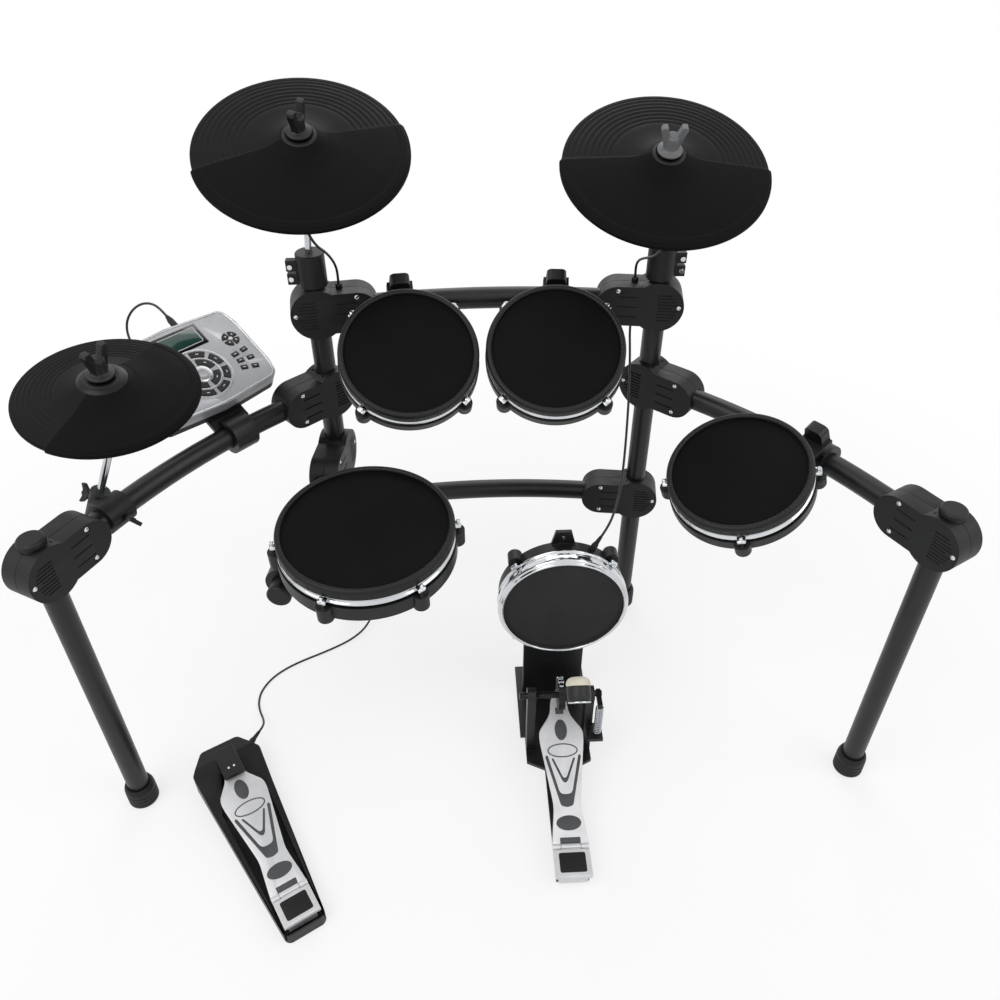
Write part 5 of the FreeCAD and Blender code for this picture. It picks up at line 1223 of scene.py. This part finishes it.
@dataclass
class SoundModule:
    """The module: silver case with a painted highlight on its bead, screen, dial, keys with plain
    marks, bracket.
    """

    seat: Seat = Seat((-457.065, 189.380, 651.633), (0.6941, 0.71988, 0.0),
                      (0.32682, -0.31512, 0.89101))
    wide: float = 240.0
    deep: float = 165.0
    bulge: float = 8.0
    dial_y: float = 62.0
    screen_y: float = 137.0
    screen_wide: float = 104.0
    screen_deep: float = 46.0
    key_top: float = 1.6
    ring_outer: float = 41.5
    ring_inner: float = 24.5
    cursor: Pair = (88.0, 102.0)
    key_arc: float = 74.0
    key_step: float = 20.0
    key_turn: float = 12.0

    def face(self, inset: float) -> Array:
        """The case's face with bowed near and far edges, drawn in by the inset."""
        half, bow, deep = self.wide / 2, self.bulge, self.deep
        right = [(0, -bow), (half - bow, 0), (half, deep * 0.2), (half, deep * 0.8),
                 (half - bow, deep), (0, deep + bow)]
        outline = fillet(mirrored(right), 24, 8)
        return outline + inset * inward(outline)

    def trim(self) -> list[Shell]:
        """A bead carried along the face's outline, and turned rings and a cap at the dial."""
        edge = self.face(3.2)
        bead = tube(np.column_stack([edge, np.full(len(edge), -0.2)]), 1.5, 10, True, 1)
        dial = [lathe([(a, -0.8), (b, -0.8), (b - 0.8, 1.3), (a + 0.8, 1.3)], 0.6, 3, 96, 1)
                for a, b in ((48.2, 53.0), (31.2, 34.4))]
        dial.append(lathe([(0, 2.2), (9, 2.6), (14.5, 2.2), (17.2, 0.4), (17.2, -0.8), (0, -0.8)],
                          1.4, 4, 64, 1))
        small = lathe([(0, 1.4), (3.4, 1.4), (4.2, 0.3), (4.2, -0.8), (0, -0.8)], 0.6, 3, 32, 1)
        return [bead, *(item.shift(0, self.dial_y) for item in dial), small.shift(*self.cursor)]

    def screen(self) -> list[Shell]:
        """A black window with a pale frame round a sunk green panel."""
        wide, deep = self.screen_wide, self.screen_deep
        window = slab(oblong(wide, deep, 3), soft_levels(-3.0, 0.7, 0.5))
        loop = oblong(wide - 15, deep - 13, 2)
        edge = tube(np.column_stack([loop, np.full(len(loop), 0.7)]), 0.7, 8, True, 1)
        panel = slab(oblong(wide - 16.5, deep - 14.5, 1.2), soft_levels(0.2, 0.95, 0.2, 2), 2)
        return [shell.shift(0, self.screen_y) for shell in (window, edge, panel)]

    def mark(self, outline: Array) -> Shell:
        """A thin mark on top of a key."""
        return slab(outline, soft_levels(self.key_top - 0.1, self.key_top + 0.12, 0.08, 1))

    def ring_marks(self) -> list[Shell]:
        """A short bar on each arc key, standing across its ray."""
        bar = self.mark(oblong(1.6, 5.0, 0.5))
        return [bar.shift(radius, 0).spin(360 / count * (i + 0.5)).shift(0, self.dial_y)
                for radius, count in ((self.ring_outer, 8), (self.ring_inner, 4))
                for i in range(count)]

    def key_marks(self) -> list[Shell]:
        """A triangle on each cursor key and a bar on each function key."""
        arrow = self.mark(fillet([(-1.6, -2.2), (2.0, 0), (-1.6, 2.2)], 0.4, 2))
        shells = [arrow.shift(10, 0).spin(90 * i + 45).shift(*self.cursor) for i in range(4)]
        bar = self.mark(oblong(5.6, 1.4, 0.5))
        for mirror in (False, True):
            for radius in (self.key_arc, self.key_arc + self.key_step):
                for step in (-1.5, -0.5, 0.5):
                    turn = step * self.key_turn
                    out = bar.shift(radius, 0).spin(180 - turn if mirror else turn)
                    shells.append(out.shift(0, self.dial_y))
        return shells

    def build(self) -> None:
        """Dresses the case and builds the trim, the screen and the marks."""
        soften("module_case", SILVER_PAINT, 0.5)
        soften("module_back", MOULDED_ABS, 0.8)
        soften("module_bracket", POWDER_COAT, 0.8)
        soften("module_ring_keys", KEY_RUBBER, 0.4)
        soften("module_function_keys", KEY_RUBBER, 0.4)
        seat = self.seat
        # The bead, the dial's rings and both caps all take the lighter silver, a painted highlight.
        make_piece("module_trim", seated(seat, self.trim()), [SILVER_PAINT, SILVER_HIGHLIGHT_PAINT], "module")
        make_piece("module_window", seated(seat, self.screen()), [ACRYLIC, PALE_INK, LCD], "module",
                   ["module_screen"])
        make_piece("ring_key_marks", seated(seat, self.ring_marks()), [PALE_INK], "ring_keys")
        make_piece("function_key_marks", seated(seat, self.key_marks()), [PALE_INK],
                   "function_keys")


def cords() -> list[Cord]:
    kick = [
        (185.3, 33.828, 446.9), (194, 33.828, 464.8), (205, 43.928, 487), (216, 66.928, 509),
        (226, 101.928, 531), (235, 142.928, 554), (243, 185.928, 581), (250, 227.928, 613),
        (254.5, 265.928, 646), (257, 294.928, 673), (257.4, 312.728, 694), (257.4, 312.728, 712)]
    hat = [
        (-467.5, -39.377, 30), (-463.5, -30.077, 29), (-463.5, -14.077, 23), (-470, 4.923, 13),
        (-480, 25.923, 5.5), (-488, 50.923, 2.6), (-487, 80.923, 2.6), (-470, 114.923, 2.6),
        (-442, 140.923, 2.6), (-409, 160.923, 2.6), (-374, 177.923, 2.6), (-341, 195.923, 2.6),
        (-310, 215.923, 3), (-281, 242.923, 8), (-263, 273.923, 26), (-256.5, 297.923, 58),
        (-256, 308.923, 98), (-257, 311.923, 145), (-257.5, 313.123, 192), (-257.4, 312.723, 236),
        (-257.4, 312.723, 275)]
    crash = [
        (-285.947, 245.099, 1009.083), (-286.7, 226.7, 999.4), (-286, 209.9, 983.5),
        (-284, 204, 958.7), (-279.2, 214.9, 928.8), (-273.1, 236.9, 902), (-266.8, 261.9, 883.2),
        (-261.7, 284.9, 862.4), (-257.9, 302.9, 841.6), (-256.6, 312.7, 821.8),
        (-257.4, 312.722, 802)]
    ride = [
        (281.477, 244.888, 972.327), (282.7, 226.5, 963.3), (282.5, 210.8, 947.6),
        (280.9, 205.8, 923.4), (276.5, 216.8, 896.3), (270.8, 237.8, 872.7), (265, 260.8, 860.5),
        (259.8, 283.9, 848.4), (257, 301.9, 836.3), (256.1, 312.6, 820.1), (257.4, 312.722, 802)]
    near = np.array([
        (30, 205, -15.4), (30, 225, -15), (26, 243, -18), (16, 258, -28), (2, 265, -45),
        (-12, 261, -65), (-20, 245, -83), (-22, 219, -92), (-22, 189, -88), (-21, 158, -74),
        (-20, 130, -56), (-20, 105, -44)])
    module = [tuple(spot) for spot in SoundModule().seat.place(near).tolist()]
    return [Cord("kick_lead", "kick_cable", "rack", 408.9, kick),
            Cord("hihat_lead", "hihat_pedal_cable", "rack", 693.6, hat),
            Cord("crash_lead", "cymbal_cables", "rack", 267.0, crash),
            Cord("ride_lead", "cymbal_cables", "rack", 238.5, ride),
            Cord("module_lead", "module_cable", "module", 281.8, module)]


def cymbals() -> list[CymbalPad]:
    """Gives the three cymbal pads on their seats."""
    crash = Seat((-284.072, 277.635, 1051.0), (0.99738, 0.02834, -0.0666),
                 (0.07238, -0.3905, 0.91775))
    ride = Seat((281.728, 277.145, 1014.5), (0.99995, 0.00385, -0.00891),
                (0.0097, -0.39703, 0.91775))
    hihat = Seat((-554.0, -26.078, 819.0), (0.99658, 0.01068, -0.08196),
                 (0.08265, -0.12874, 0.98823))
    return [CymbalPad("crash", crash, 168.0, 110.8, 175.5),
            CymbalPad("ride", ride, 168.0, 85.0, 176.0),
            CymbalPad("hihat", hihat, 130.0, 158.2, 176.5, cap_radius=33.0)]


def drum_pads() -> list[DrumPad]:
    """Gives the five drum pads on their seats."""
    tom_1 = Seat((-134.5, 147.334, 757.589), (0.99373, 0.1118, 0.0), (0.06413, -0.56998, 0.81915))
    tom_2 = Seat((104.5, 150.329, 757.589), (0.99622, -0.08686, 0.0), (-0.04982, -0.57141, 0.81915))
    tom_3 = Seat((382.842, -24.295, 630.1), (0.58207, -0.81314, 0.0), (-0.31772, -0.22743, 0.9205))
    snare = Seat((-207.961, -67.403, 575.002), (0.14954, 0.98876, 0.0),
                 (-0.00302, -0.06657, 0.99778))
    kick = Seat((120.0, -6.672, 313.0), X_AXIS, (0.0, -1.0, 0.0))
    return [DrumPad("tom_1", "tom_1", tom_1, 104.0, 4), DrumPad("tom_2", "tom_2", tom_2, 104.0, 4),
            DrumPad("tom_3", "tom_3", tom_3, 104.0, 4, -3.5),
            DrumPad("snare", "snare", snare, 130.0, 6, 15.6),
            DrumPad("kick", "rack", kick, 108.0, 4, head_finish=KICK_RUBBER, ringed=True)]


def pedals() -> list[Footboard | HeelPlate | BeaterPedal | HatPedal]:
    """Gives the footboards, the heel plates and the works of both pedals."""
    kick_board = Seat(KICK_HINGE, X_AXIS, (0, -0.28903, 0.95732))
    hat_board = Seat(HAT_HINGE, HAT_ACROSS, (0.07022, -0.12016, 0.99027))
    return [Footboard("kick_pedal", "pedal_footboard", "footboard", kick_board, windowed=True),
            Footboard("hihat_pedal", "hihat_footboard", "hihat_board", hat_board),
            HeelPlate("pedal_heel_plate", Seat(KICK_HINGE)),
            HeelPlate("hihat_heel_plate", Seat(HAT_HINGE, HAT_ACROSS)), BeaterPedal(), HatPedal()]


def main() -> None:
    logging.basicConfig(level=logging.INFO, format="%(name)s %(message)s")
    kit = [Studio(), *cords(), Plugs(), Rack(), *cymbals(), CymbalNuts(), *drum_pads(), *pedals(),
           SoundModule()]
    for assembly in kit:
        assembly.build()


if __name__ == "__main__":
    main()
